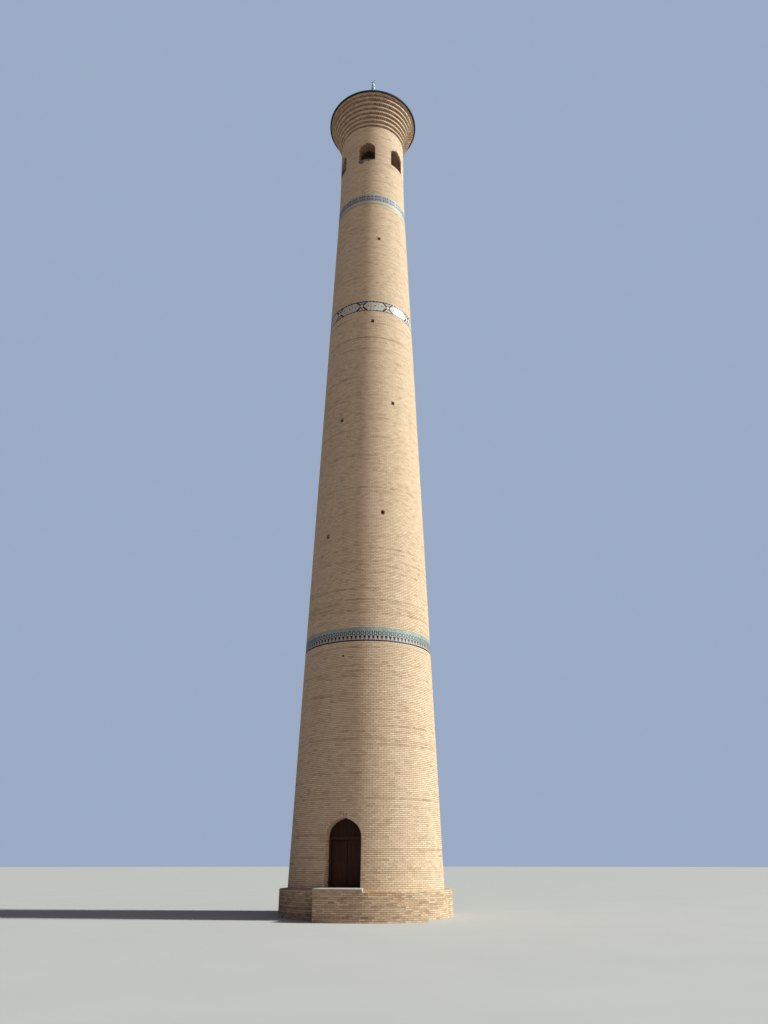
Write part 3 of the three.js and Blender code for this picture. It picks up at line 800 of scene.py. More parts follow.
def shaft_gaps(low, high):
    """The openings that a course of the shaft meets."""
    radius = shaft_radius(low)
    gaps = doorway.gap(low, high, radius, DOOR_RING + JOINT / 2 if low > doorway.spring else 0.0)
    for bearing, level in VENTS:
        half, rise = VENT_HALF, VENT_RISE
        if (bearing, level) == SMALL_VENT:
            half = rise = SMALL_VENT_HALF
        if abs((low + high) / 2 - level * METRE) < rise:
            reach = math.degrees(half / radius)
            gaps.append([(bearing - reach, bearing + reach)] * 2)
    return gaps


doorway = Arch(0, DOOR_HALF, DOOR_SPRING, DOOR_HAUNCH, DOOR_TURN, DOOR_CROWN)
panel_front = -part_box("arch_fanlight")[0].y
panel_back = -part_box("door_lintel")[1].y
jamb_front = -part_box("door_jamb_right")[0].y
leaf_back = -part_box("door_leaf_right")[1].y
rng = np.random.default_rng(5)
door_bricks = Heap()
arch_ring(door_bricks, rng, doorway, shaft_radius(doorway.spring + DOOR_RING), DOOR_RING)


def door_face(x):
    return chord(shaft_radius(doorway.spring), x)


def door_void(x):
    return chord(SHAFT_VOID, x) + JOINT


arch_lining(
    door_bricks, rng, doorway, lambda x: door_face(x) - BRICK_WIDTH, lambda x: panel_front + JOINT
)
arch_lining(door_bricks, rng, doorway, lambda x: panel_back - JOINT, door_void)
door_courses = round((doorway.spring - SILL_TOP) / COURSE)
reveal_lining(
    door_bricks, rng, doorway, SILL_TOP, door_courses, door_face, lambda x: jamb_front + JOINT / 2
)
reveal_lining(
    door_bricks, rng, doorway, SILL_TOP, door_courses, lambda x: leaf_back - PIVOT_ROOM, door_void
)
door_bricks.make("doorway_bricks", buff_brick, "brick")

# The shaft is laid in running bond with thin joints all the way up. Runs of darker bricks wander
# round part of the tower, and square vent holes are left in the wall, closed above and below by
# bats in the darkest tone, painted shade in the holes.
LOWER_BAND = [corner.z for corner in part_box("lower_tile_band")]
MIDDLE_BAND = [corner.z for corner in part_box("middle_tile_band")]
UPPER_BAND = [corner.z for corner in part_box("upper_tile_band")]
LANTERN_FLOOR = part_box("lantern_floor")[0].z
middle_split = (LOWER_BAND[1] + MIDDLE_BAND[0]) / 2


def neck_radius(height):
    share = (height - UPPER_BAND[1]) / (LANTERN_FLOOR - UPPER_BAND[1])
    return shaft_radius(UPPER_BAND[1]) * (1 - share) + LANTERN_RADIUS * share


for name, radius_at, levels in (
    ("lower_shaft_bricks", shaft_radius, (PLINTH_TOP, doorway.spring, LOWER_BAND[0])),
    ("middle_shaft_bricks_low", shaft_radius, (LOWER_BAND[1], middle_split)),
    ("middle_shaft_bricks_high", shaft_radius, (middle_split, MIDDLE_BAND[0])),
    ("upper_shaft_bricks", shaft_radius, (MIDDLE_BAND[1], UPPER_BAND[0])),
    ("shaft_neck_bricks", neck_radius, (UPPER_BAND[1], LANTERN_FLOOR)),
):
    bricks = Heap()
    rng = np.random.default_rng(round(levels[0] * 1000) + 3)
    for foot, head in zip(levels, levels[1:]):
        lay_round(bricks, rng, (foot, head), radius_at, shaft_gaps)
    for bearing, level in VENTS:
        if (bearing, level) == SMALL_VENT or not levels[0] < level * METRE < levels[-1]:
            continue
        radius = shaft_radius(level * METRE)
        reach = math.degrees(VENT_HALF / radius)
        bearings = (bearing - reach, bearing + reach)
        for foot in (level * METRE - VENT_HALF - VENT_BAT, level * METRE + VENT_HALF):
            heights = (foot, foot + VENT_BAT)
            fronts = [shaft_radius(height) + VENT_SHY for height in heights]
            backs = [front - BEDDED for front in fronts]
            # The bats take the darkest tone: painted shade in the vent hole.
            round_block(bricks, bearings, heights, fronts, backs, 0)
    bricks.make(name, buff_brick, "brick")

# The door is of dark oiled wood, made darker still as painted shade of its deep recess: two leaves
# of upright boards between framed rails, in a plain frame. Iron studs and a ring handle are driven
# into the outer face only, so that the inner face folds flat to the passage wall. A wooden lattice
# stands before the panel in the arch.
LEAF_PLANE = -2.9 * METRE
LEAF_HALF = 0.03 * METRE
LEAF_INNER, LEAF_OUTER = 0.012 * METRE, 0.735 * METRE
JAMB_INNER = 0.745 * METRE
STILE = 0.09 * METRE
RAIL_LEVELS = [(1.295, 1.45), (2.16, 2.28), (3.09, 3.205)]
RAIL_PROUD, INNER_RAIL_PROUD = 0.016 * METRE, 0.005 * METRE
BOARD_PROUD, INNER_BOARD_PROUD = 0.007 * METRE, 0.002 * METRE
BOARD_COUNT = 5
BOARD_GAP = 0.004 * METRE
EASED = 0.003 * METRE
STUD_RADIUS = 0.013 * METRE
STUD_SIDES = 10
STUD_PROFILE = [(0.75, 0.35), (0.55, 0.75), (0, 1), (-0.5, 1)]
SMOOTH_IRON = 50
STUDS_PER_RAIL = 7
RING_RADIUS, RING_WIRE = 0.05 * METRE, 0.007 * METRE
RING_SIDES, WIRE_SIDES = 28, 8
HANDLE_LEVEL = 2.22 * METRE
LATTICE_PITCH = 0.13 * METRE
LATTICE_BAR = 0.025 * METRE
LATTICE_DEPTH = 0.02 * METRE
FANLIGHT_RIM = 0.06 * METRE
HALVINGS = 20
BOARD_SCATTER = 0.16
# Both wood colours are near black: painted shade of the recess over the wood's own dark tone.
SHADED_WOOD_DARK = (0.012, 0.005, 0.003, 1)
SHADED_WOOD_RED = (0.072, 0.020, 0.008, 1)
IRON_DARK = (0.018, 0.017, 0.016, 1)
IRON_WORN = (0.075, 0.066, 0.058, 1)


def wood_finish():
    """Oiled hardwood: long grain, a tone for each board, and dust in the pores, darkened as painted
    shade.
    """
    material, place = start_finish("oiled_wood")
    tone = place.node("ShaderNodeAttribute", {"attribute_name": "tone"}, out=2)
    grain = place.noise(90, 6, (1, 1, 0.05))
    figure = place.noise(16, 3, (1, 1, 0.12))
    shade = (grain * 0.5 + figure * 0.5 + (tone - 0.5) * 0.5).clamp()
    colour = shade.blend(SHADED_WOOD_DARK, SHADED_WOOD_RED)
    close_finish(place, colour, 0.70 - grain * 0.2, grain, 0.0012, Specular_IOR_Level=0.25)
    return material


def iron_finish():
    """Hammered wrought iron, rubbed bright where hands reach."""
    material, place = start_finish("wrought_iron")
    hammer = place.noise(120, 3)
    close_finish(
        place, hammer.blend(IRON_DARK, IRON_WORN), 0.6 - hammer * 0.25, hammer, 0.0008, Metallic=0.85
    )
    return material


def plank(heap, low, high, facing, tone):
    """A board with eased edges that faces -Y or +Y."""
    near, far = (low[1], high[1]) if facing < 0 else (high[1], low[1])
    outlines = []
    for y, inset in ((near, EASED), (near - facing * EASED, 0), (far, 0)):
        left, right, foot, head = low[0] + inset, high[0] - inset, low[2] + inset, high[2] - inset
        corners = [(left, y, foot), (right, y, foot), (right, y, head), (left, y, head)]
        outlines.append(corners if facing < 0 else corners[::-1])
    heap.loft(outlines, tone)


def stud(heap, x, y, z):
    """A round-headed nail in the outer face of a leaf."""
    turns = [2 * math.pi * i / STUD_SIDES for i in range(STUD_SIDES)]
    outlines = []
    for out, share in STUD_PROFILE:
        reach = STUD_RADIUS * share
        level = y - out * STUD_RADIUS
        outlines.append(
            [(x + reach * math.cos(turn), level, z + reach * math.sin(turn)) for turn in turns]
        )
    heap.loft(outlines)


def ring_handle(heap, x, y, z):
    """A ring of round bar that hangs on the face of a leaf."""
    first = len(heap.points)
    for i in range(RING_SIDES):
        round_ring = 2 * math.pi * i / RING_SIDES
        for j in range(WIRE_SIDES):
            round_wire = 2 * math.pi * j / WIRE_SIDES
            reach = RING_RADIUS + RING_WIRE * math.cos(round_wire)
            depth = y + RING_WIRE * math.sin(round_wire)
            height = z + reach * math.sin(round_ring)
            heap.points.append((x + reach * math.cos(round_ring), depth, height))
    for i in range(RING_SIDES):
        this, following = first + i * WIRE_SIDES, first + (i + 1) % RING_SIDES * WIRE_SIDES
        for j in range(WIRE_SIDES):
            k = (j + 1) % WIRE_SIDES
            heap.faces.append((this + j, this + k, following + k, following + j))
            heap.tones.append(MIDDLE_TONE)


def leaf_board(heap, rng, side, facing, span, levels, proud):
    """Fixes a board on one face of a leaf, between two distances from the doorway's middle."""
    face = LEAF_PLANE + facing * LEAF_HALF
    left, right = sorted(side * reach for reach in span)
    front, back = sorted((face + facing * proud, face - facing * EASED))
    foot, head = levels
    tone = rng.normal(MIDDLE_TONE, BOARD_SCATTER)
    plank(heap, (left, front, foot), (right, back, head), facing, tone)


oiled_wood = wood_finish()
wrought_iron = iron_finish()
rng = np.random.default_rng(6)
rails = [(foot * METRE, head * METRE) for foot, head in RAIL_LEVELS]
for side, body in ((-1, "left_leaf"), (1, "right_leaf")):
    boards = Heap()
    iron = Heap()
    faces = [(-1, RAIL_PROUD, BOARD_PROUD), (1, INNER_RAIL_PROUD, INNER_BOARD_PROUD)]
    for facing, rail_proud, board_proud in faces:
        for rail in rails:
            span = (LEAF_INNER + STILE, LEAF_OUTER - STILE)
            leaf_board(boards, rng, side, facing, span, rail, rail_proud)
        for inner in (LEAF_INNER, LEAF_OUTER - STILE):
            levels = (rails[0][0], rails[-1][1])
            leaf_board(boards, rng, side, facing, (inner, inner + STILE), levels, rail_proud)
        board = (LEAF_OUTER - LEAF_INNER - 2 * STILE) / BOARD_COUNT
        for lower, upper in zip(rails, rails[1:]):
            for i in range(BOARD_COUNT):
                inner = LEAF_INNER + STILE + i * board
                span = (inner + BOARD_GAP / 2, inner + board - BOARD_GAP / 2)
                leaf_board(boards, rng, side, facing, span, (lower[1], upper[0]), board_proud)
    face = LEAF_PLANE - LEAF_HALF - RAIL_PROUD
    for rail in rails:
        for i in range(STUDS_PER_RAIL):
            reach = LEAF_INNER + (LEAF_OUTER - LEAF_INNER) * (i + 0.5) / STUDS_PER_RAIL
            stud(iron, side * reach, face, sum(rail) / 2)
    hang_x = side * (LEAF_INNER + STILE / 2)
    hang_y = face - RING_WIRE
    ring_handle(iron, hang_x, hang_y, HANDLE_LEVEL - RING_RADIUS)
    stud(iron, hang_x, hang_y, HANDLE_LEVEL)
    boards.make(f"{body}_boards", oiled_wood, "brown_wood", body)
    iron.make(f"{body}_iron", wrought_iron, "dark_sheet", body, SMOOTH_IRON)

lattice = Heap()
lintel_low, lintel_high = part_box("door_lintel")
lattice_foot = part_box("arch_fanlight")[0].z + EASED
lattice_front = -panel_front - LATTICE_DEPTH
lattice_back = -panel_front + EASED
lattice_half = LATTICE_BAR / 2
opening_half = doorway.half_width - FANLIGHT_RIM
level = lattice_foot + FANLIGHT_RIM
while level < doorway.apex() - FANLIGHT_RIM:
    reach = doorway.half_at(level + lattice_half, EASED - FANLIGHT_RIM)
    low = (-reach, lattice_front, level - lattice_half)
    plank(lattice, low, (reach, lattice_back, level + lattice_half), -1, MIDDLE_TONE)
    level += LATTICE_PITCH
for i in range(-round(opening_half / LATTICE_PITCH), round(opening_half / LATTICE_PITCH) + 1):
    x = i * LATTICE_PITCH
    low_level, high_level = doorway.spring, doorway.apex()
    for _ in range(HALVINGS):
        middle = (low_level + high_level) / 2
        if doorway.half_at(middle, EASED - FANLIGHT_RIM) > abs(x) + lattice_half:
            low_level = middle
        else:
            high_level = middle
    low = (x - lattice_half, lattice_front - EASED, lattice_foot)
    plank(lattice, low, (x + lattice_half, lattice_back, low_level), -1, MIDDLE_TONE)
for number, corners in doorway.wedges(LATTICE_PITCH, -FANLIGHT_RIM, -2 * PROUD):
    front = [(x, lattice_front - 2 * EASED, z) for x, z in corners]
    back = [(x, lattice_back, z) for x, z in corners]
    lattice.loft([front, back], rng.normal(MIDDLE_TONE, BOARD_SCATTER))
for side in (-1, 1):
    left, right = sorted((side * (doorway.half_width - 2 * PROUD), side * opening_half))
    low = (left, lattice_front - 2 * EASED, lattice_foot)
    plank(lattice, low, (right, lattice_back, doorway.spring), -1, MIDDLE_TONE)
    left, right = sorted((side * (doorway.half_width - 2 * PROUD), side * JAMB_INNER))
    low = (left, -jamb_front - LATTICE_DEPTH, SILL_TOP)
    plank(lattice, low, (right, -jamb_front + EASED, lintel_low.z), -1, MIDDLE_TONE)
low = (lintel_low.x + PROUD, lintel_low.y - LATTICE_DEPTH, lintel_low.z + EASED)
high = (lintel_high.x - PROUD, lintel_low.y + EASED, lintel_high.z - EASED)
plank(lattice, low, high, -1, MIDDLE_TONE)
lattice.make("door_frame_and_lattice", oiled_wood, "brown_wood")
dress(
    oiled_wood, "door_jamb_left", "door_jamb_right", "door_lintel", "arch_fanlight",
    "door_leaf_left", "door_leaf_right",
)

# The lower band is of glazed tiles in three rows: white and dark points over a black line at the
# foot, thin upright rings on grey green, and plain light turquoise at the head.
TILE_JOINT = 0.003 * METRE
TILE_CREST = 0.012 * METRE
LOWER_REPEATS = 96
LOWER_TURN = 1.25
BLACK_LINE_TOP = 12.395 * METRE
POINTS_TOP = 12.615 * METRE
RINGS_TOP = 12.875 * METRE
TURQUOISE = (0.165, 0.235, 0.225, 1)
TURQUOISE_PALE = (0.36, 0.355, 0.30, 1)
RING_GROUND = (0.34, 0.365, 0.345, 1)
RING_INSIDE = (0.31, 0.335, 0.31, 1)
LINE_GREY = (0.38, 0.325, 0.30, 1)
TEAL = (0.035, 0.19, 0.19, 1)
MAROON = (0.085, 0.020, 0.024, 1)
COAL = (0.014, 0.013, 0.018, 1)
GLAZE_WHITE = (0.385, 0.32, 0.30, 1)
POINT_SLOPE, POINT_RISE, POINT_EDGE = 1.35, 0.8, 1.22
FOOT_LINE = 0.14
RING_OUTER, RING_HOLE_WIDTH, RING_HOLE_HEIGHT = 0.84, 0.42, 0.60


def tile_row(heap, foot, head, count):
    """One row of tiles round the shaft, with hair joints."""
    step = 360 / count
    for i in range(count):
        radius = shaft_radius(foot)
        joint = math.degrees(TILE_JOINT / radius) / 2
        bearings = (i * step + joint, (i + 1) * step - joint)
        levels = (foot + TILE_JOINT / 2, head - TILE_JOINT / 2)
        fronts = [shaft_radius(level) + TILE_CREST for level in levels]
        backs = [shaft_radius(level) - BEDDED for level in levels]
        round_block(heap, bearings, levels, fronts, backs, MIDDLE_TONE)


def start_glaze(name):
    """A glaze's material, its place, its bearing in degrees and its height."""
    material, place = start_finish(name)
    x, y, z = place.parts()
    return material, place, place.math("ARCTAN2", x, 0 - y) * math.degrees(1), z


def close_glaze(place, colour, smoothest=0.40):
    """Shining tin glaze over clay: pooled, a little uneven, with fine pits."""
    pooling = place.noise(38, 3)
    close_finish(place, colour, smoothest + pooling * 0.16, pooling, 0.0006, Specular_IOR_Level=0.25)


def lower_band_finish():
    """Points, upright rings and plain turquoise, laid out by bearing and height."""
    material, place, bearing, height = start_glaze("lower_band_glaze")
    along = ((bearing + LOWER_TURN) * (LOWER_REPEATS / 360)).repeat()
    aside = abs(along - 0.5) * 2
    points_height = POINTS_TOP - BLACK_LINE_TOP
    rise = (height - BLACK_LINE_TOP) / points_height
    dark = (place.noise(1.6, 2) * 2.4 - 0.7).clamp().blend(COAL, MAROON)
    colour = (aside * POINT_SLOPE + rise * POINT_RISE < POINT_EDGE).blend(dark, GLAZE_WHITE)
    colour = (rise < FOOT_LINE).blend(colour, LINE_GREY)
    colour = (rise < 0).blend(colour, COAL)
    upright = (height - (POINTS_TOP + RINGS_TOP) / 2) / (RINGS_TOP - POINTS_TOP) * 2
    ring = (aside / RING_OUTER) ** 3 + (abs(upright) / RING_OUTER) ** 3
    rings = (ring < 1).blend(RING_GROUND, COAL)
    opening = (aside / RING_HOLE_WIDTH) ** 3 + (abs(upright) / RING_HOLE_HEIGHT) ** 3
    rings = (opening < 1).blend(rings, RING_INSIDE)
    colour = (height > POINTS_TOP).blend(colour, rings)
    head = (place.noise(5, 2) * 1.6 - 0.3).clamp().blend(TURQUOISE, TURQUOISE_PALE)
    close_glaze(place, (height > RINGS_TOP).blend(colour, head))
    return material


tiles = Heap()
for foot, head in ((LOWER_BAND[0], POINTS_TOP), (POINTS_TOP, RINGS_TOP), (RINGS_TOP, LOWER_BAND[1])):
    tile_row(tiles, foot, head, LOWER_REPEATS)
tiles.make("lower_band_tiles", lower_band_finish(), "blue_tile")

# The middle band has long six-sided panels, white with small dark flowers, between crossed dark
# ribbons, and dashed black lines along its head and foot.
CROSS_PITCH = 36
CROSS_BEARING = 4.2
CROSS_REACH = 8.2
RIBBON_HALF = 1.55
DASH_PITCH = 4.5
LINE_SHARE = 0.78
LINE_SHIFT = 0.02 * METRE
MIDDLE_TILES = 90
MIDDLE_ROWS = 4
PANEL_WHITE = (0.79, 0.635, 0.565, 1)
PANEL_GREEN = (0.24, 0.26, 0.21, 1)
SPANDREL_PINK = (0.34, 0.25, 0.25, 1)
DASH_GAP = (0.24, 0.185, 0.165, 1)
RIBBON_DARK = (0.018, 0.008, 0.014, 1)
FLOWERS = [(8.7, 0, 1), (18, 0, 1.15), (13.4, 0.36, 0.5), (13.4, 0, 0.5)]
FLOWER_RINGS = [(0.115, PANEL_GREEN), (0.09, PANEL_WHITE), (0.055, COAL)]
SQUARE_PITCH = 0.036
SQUARE_WIDTH, SQUARE_HEIGHT, DASH_WIDTH = 0.24, 0.26, 0.32
JEWEL_WIDTH, JEWEL_HEIGHT = 3.4, 0.56
JEWEL_RINGS = [(1, RIBBON_DARK), (0.66, PANEL_WHITE), (0.22, TEAL)]


def middle_band_finish():
    """Panels, ribbons and dashes. Flowers are (degrees from a crossing, rise, size)."""
    material, place, bearing, height = start_glaze("middle_band_glaze")
    degree = math.radians(1) * shaft_radius(MIDDLE_BAND[0])
    along = ((bearing - CROSS_BEARING) / CROSS_PITCH).repeat() * CROSS_PITCH
    away = CROSS_PITCH / 2 - abs(along - CROSS_PITCH / 2)
    middle = (MIDDLE_BAND[0] + MIDDLE_BAND[1]) / 2
    band_half = (MIDDLE_BAND[1] - MIDDLE_BAND[0]) / 2
    lift = height - middle
    rise = abs(lift) / band_half
    stems = (abs(place.noise(20, 2) - 0.5) * 13).clamp()
    leaves = (abs(place.noise(34, 1) - 0.5) * 12).clamp()
    colour = (stems * leaves).blend(PANEL_GREEN, PANEL_WHITE)
    for flower, level, size in FLOWERS:
        across = (away - flower) * degree
        upward = (rise - level) * band_half
        reach = (across * across + upward * upward) ** 0.5 / (size * METRE)
        for ring_reach, ring_colour in FLOWER_RINGS:
            colour = (reach < ring_reach).blend(colour, ring_colour)
    arm = away - rise * CROSS_REACH
    checks = (bearing / DASH_PITCH).repeat() - 0.5
    rows = (lift / SQUARE_PITCH).repeat() - 0.5
    squares = (abs(checks) < SQUARE_WIDTH) * (abs(rows) < SQUARE_HEIGHT)
    colour = (arm < 0).blend(colour, squares.blend(SPANDREL_PINK, PANEL_WHITE))
    colour = (abs(arm) < RIBBON_HALF).blend(colour, RIBBON_DARK)
    jewel = away / JEWEL_WIDTH + rise / JEWEL_HEIGHT
    for ring_reach, ring_colour in JEWEL_RINGS:
        colour = (jewel < ring_reach).blend(colour, ring_colour)
    dashes = (abs(checks) < DASH_WIDTH).blend(DASH_GAP, COAL)
    edges = abs(lift + LINE_SHIFT) > LINE_SHARE * band_half
    close_glaze(place, edges.blend(colour, dashes))
    return material


tiles = Heap()
row = (MIDDLE_BAND[1] - MIDDLE_BAND[0]) / MIDDLE_ROWS
for i in range(MIDDLE_ROWS):
    tile_row(tiles, MIDDLE_BAND[0] + i * row, MIDDLE_BAND[0] + (i + 1) * row, MIDDLE_TILES)
tiles.make("middle_band_tiles", middle_band_finish(), "pale_tile")

# The upper band is cut tilework: white lines that cross in zigzags over dark blue, with teal and
# grey lozenges, above a white line and a green one with buff clay between them.
UPPER_REPEATS = 27
UPPER_TURN = -0.2
UPPER_STROKES = 5
UPPER_TILES = 81
UPPER_ROWS = [42.82, 42.93, 43.02, 43.10, 43.22, 43.43, 43.64, 43.85]
GREEN_LINE = (42.93 * METRE, 43.02 * METRE)
WHITE_LINE = (43.10 * METRE, 43.22 * METRE)
GREEN = (0.26, 0.275, 0.16, 1)
LOZENGE_GREY = (0.06, 0.07, 0.13, 1)
HEAD_GREEN = (0.33, 0.36, 0.28, 1)
PINK_WHITE = (0.42, 0.35, 0.36, 1)
DULL_WHITE = (0.42, 0.40, 0.35, 1)
CLAY = (0.50, 0.36, 0.22, 1)
FOOT_PINK = (0.37, 0.28, 0.26, 1)
UPPER_NAVY = (0.022, 0.022, 0.052, 1)
ZIGZAG_SLOPE, ZIGZAG_MIDDLE, ZIGZAG_HALF = 0.8, 0.46, 0.05
STROKE_INSET, STROKE_HALF = -0.14, 0.30
DOT_HALF = 0.16
FOOT_SHARE, HEAD_SHARE = 0.20, 0.76
DULLER_GLAZE = 0.5


def upper_band_finish():
    """Crossing zigzags with lozenges between them, over plain lines."""
    material, place, bearing, height = start_glaze("upper_band_glaze")
    repeats = (bearing + UPPER_TURN) * (UPPER_REPEATS / 360)
    aside = abs(repeats.repeat() - 0.5) * 2
    pattern_height = UPPER_BAND[1] - WHITE_LINE[1]
    rise = (height - WHITE_LINE[1]) / pattern_height
    fold = abs(aside - 0.5) * ZIGZAG_SLOPE
    inside = abs(rise - ZIGZAG_MIDDLE) - fold
    lozenge = (aside < 0.5).blend(LOZENGE_GREY, TEAL)
    colour = (inside < 0).blend(UPPER_NAVY, lozenge)
    dots = abs((repeats * UPPER_STROKES).repeat() - 0.5)
    colour = ((inside < STROKE_INSET) * (dots < STROKE_HALF)).blend(colour, PINK_WHITE)
    colour = (abs(inside) < ZIGZAG_HALF).blend(colour, PINK_WHITE)
    colour = (rise > HEAD_SHARE).blend(colour, HEAD_GREEN)
    foot_row = (dots < DOT_HALF).blend(FOOT_PINK, MAROON)
    colour = (rise < FOOT_SHARE).blend(colour, foot_row)
    colour = (height < WHITE_LINE[1]).blend(colour, DULL_WHITE)
    colour = (height < WHITE_LINE[0]).blend(colour, CLAY)
    colour = (height < GREEN_LINE[1]).blend(colour, GREEN)
    close_glaze(place, (height < GREEN_LINE[0]).blend(colour, CLAY), DULLER_GLAZE)
    return material


tiles = Heap()
for foot, head in zip(UPPER_ROWS, UPPER_ROWS[1:]):
    tile_row(tiles, foot * METRE, head * METRE, UPPER_TILES)
tiles.make("upper_band_tiles", upper_band_finish(), "blue_tile")
dress(core_finish, "lower_tile_band", "middle_tile_band", "upper_tile_band")

# The lantern room's wall is brick like the shaft, with six open windows under pointed arches.
# Each has a header-deep ring, brick linings darkened as painted shade and a sill of bricks on
# edge; the vault inside is plastered.
WINDOW_SILL = 47.2 * METRE
WINDOW_RING = 0.12 * METRE
WINDOW_COUNT, WINDOW_BEARING = 6, 7
WINDOW_HALF, WINDOW_SPRING = 0.575 * METRE, 48.45 * METRE
WINDOW_HAUNCH, WINDOW_TURN, WINDOW_CROWN = 0.42 * METRE, 45, 1.2 * METRE
CORNICE_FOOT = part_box("cornice_course_1")[0].z
LANTERN_VOID = 1.5 * METRE
SILL_THICKNESS = 0.05 * METRE
SILL_NOSING = 0.015 * METRE
SILL_BRICKS = 15
PLASTER_DARK = (0.20, 0.13, 0.08, 1)
PLASTER_PALE = (0.38, 0.26, 0.165, 1)

windows = []
window_sizes = (WINDOW_HALF, WINDOW_SPRING, WINDOW_HAUNCH, WINDOW_TURN, WINDOW_CROWN)
for i in range(WINDOW_COUNT):
    windows.append(Arch(WINDOW_BEARING + 360 / WINDOW_COUNT * i, *window_sizes))


def plaster_finish():
    """Brown lime plaster, trowelled by hand and stained by damp."""
    material, place = start_finish("brown_plaster")
    trowel = place.noise(9, 5)
    damp = place.noise(1.8, 4)
    shade = trowel * 0.4 + damp * 0.6
    close_finish(place, shade.blend(PLASTER_DARK, PLASTER_PALE), 0.95 - damp * 0.1, trowel, 0.004)
    return material


def lantern_gaps(low, high):
    """The windows that a course of the lantern meets."""
    grow = WINDOW_RING + JOINT / 2 if low > windows[0].spring else 0.0
    gaps = []
    if low > WINDOW_SILL:
        for window in windows:
            gaps += window.gap(low, high, LANTERN_RADIUS, grow)
    return gaps


def lantern_face(x):
    return chord(LANTERN_RADIUS, x)


def lantern_void(x):
    return chord(LANTERN_VOID, x) + JOINT


rng = np.random.default_rng(7)
bricks = Heap()
lantern_levels = (LANTERN_FLOOR, WINDOW_SILL, windows[0].spring, CORNICE_FOOT)
for foot, head in zip(lantern_levels, lantern_levels[1:]):
    lay_round(bricks, rng, (foot, head), lambda height: LANTERN_RADIUS, lantern_gaps)
window_courses = round((windows[0].spring - WINDOW_SILL) / COURSE)
for window in windows:
    arch_ring(bricks, rng, window, LANTERN_RADIUS, WINDOW_RING)
    # The linings take a dark tone: painted shade inside the window.
    arch_lining(bricks, rng, window, lambda x: lantern_face(x) - BRICK_WIDTH, lantern_void, LINING_PAINTED_SHADE)
    reveal_lining(
        bricks, rng, window, WINDOW_SILL, window_courses, lantern_face, lantern_void, LINING_PAINTED_SHADE
    )
    half = window.half_width - PROUD
    pitch = 2 * half / SILL_BRICKS
    for i in range(SILL_BRICKS):
        left, right = i * pitch - half + JOINT / 2, (i + 1) * pitch - half - JOINT / 2
        plan = [(x, lantern_face(x) + SILL_NOSING) for x in (left, right)]
        plan += [(x, lantern_void(x)) for x in (right, left)]
        outlines = []
        for level in (WINDOW_SILL + SILL_THICKNESS, WINDOW_SILL - JOINT):
            outlines.append([bay_point(window.bearing, x, away, level) for x, away in plan])
        bricks.loft(outlines, rng.normal(WORN_AND_SHADED, EDGE_SCATTER))
bricks.make("lantern_bricks", buff_brick, "brick")
dress(plaster_finish(), "lantern_vault")

# A rough lump of grey mortar was thrown on the sill of the window in front and has run down the
# wall below it.
PATCH_EDGE = [
    (-0.62, 47.12), (-0.48, 46.90), (-0.28, 46.94), (-0.12, 47.10), (0.2, 47.14), (0.42, 47.2),
]
PATCH_STEPS = 22
PATCH_PROUD = 0.05 * METRE
PATCH_DEPTH = 0.28 * METRE
PATCH_HEIGHT = 0.06 * METRE
PATCH_RAGGED = PATCH_HEIGHT / 4
PATCH_HEADS, PATCH_BULGES = (0.2, 1), (0.5, 1)
GREY_MORTAR = (0.28, 0.215, 0.175, 1)
MORTAR_HOLLOW_SHADE = (0.05, 0.036, 0.026, 1)


def grey_mortar_finish():
    """Rough cement mortar: lumps and sand, with painted shade in the hollows."""
    material, place = start_finish("grey_mortar")
    lumps = place.noise(17, 4)
    # The low parts of the lumps are near black: painted shade in the hollows.
    colour = (lumps * 4 - 1.5).clamp().blend(MORTAR_HOLLOW_SHADE, GREY_MORTAR)
    close_finish(place, colour, 1 - lumps * 0.1, lumps, 0.008)
    return material


rng = np.random.default_rng(9)
patch = Heap()
patch_x, patch_foot = np.array(PATCH_EDGE).T * METRE
sill_top = WINDOW_SILL + SILL_THICKNESS
outlines = []
for x in np.linspace(patch_x[0], patch_x[-1], PATCH_STEPS):
    foot = np.interp(x, patch_x, patch_foot) + rng.normal(0, PATCH_RAGGED)
    head = sill_top + PATCH_HEIGHT * rng.uniform(*PATCH_HEADS)
    face = lantern_face(x)
    proud = PATCH_PROUD * rng.uniform(*PATCH_BULGES)
    section = [
        (face - BEDDED, foot), (face + PROUD, foot), (face + proud, (foot + head) / 2),
        (face + PROUD / 2, head), (face - PATCH_DEPTH, sill_top - JOINT),
    ]
    outlines.append([bay_point(windows[0].bearing, x, away, level) for away, level in section])
patch.loft(outlines)
patch.make("sill_mortar", grey_mortar_finish(), "lime_plaster")

# The cornice steps out in eight tiers. Each is a row of bricks set cornerwise, like teeth, on the
# wall behind, and over it a plain band two courses high that throws its shadow on the teeth.
TIER_COUNT = 8
TIER_HEIGHT = 0.32 * METRE
TEETH_HEIGHT = 0.155 * METRE
CORNICE_FLARE = 0.845 * METRE
FLARE_POWER = 1.15
TOOTH_PITCH = 0.155 * METRE
TOOTH_WIDTH = 0.115 * METRE
TOOTH_SHY = 0.02 * METRE
BAND_DROP = 0.004 * METRE
# The teeth's tone is dark as painted shade under the bands; the bands' tone is their own.
TEETH_PAINTED_SHADE, WEATHERED = 0.15, 0.55


def tier_radius(tier):
    return LANTERN_RADIUS + CORNICE_FLARE * (tier / TIER_COUNT) ** FLARE_POWER


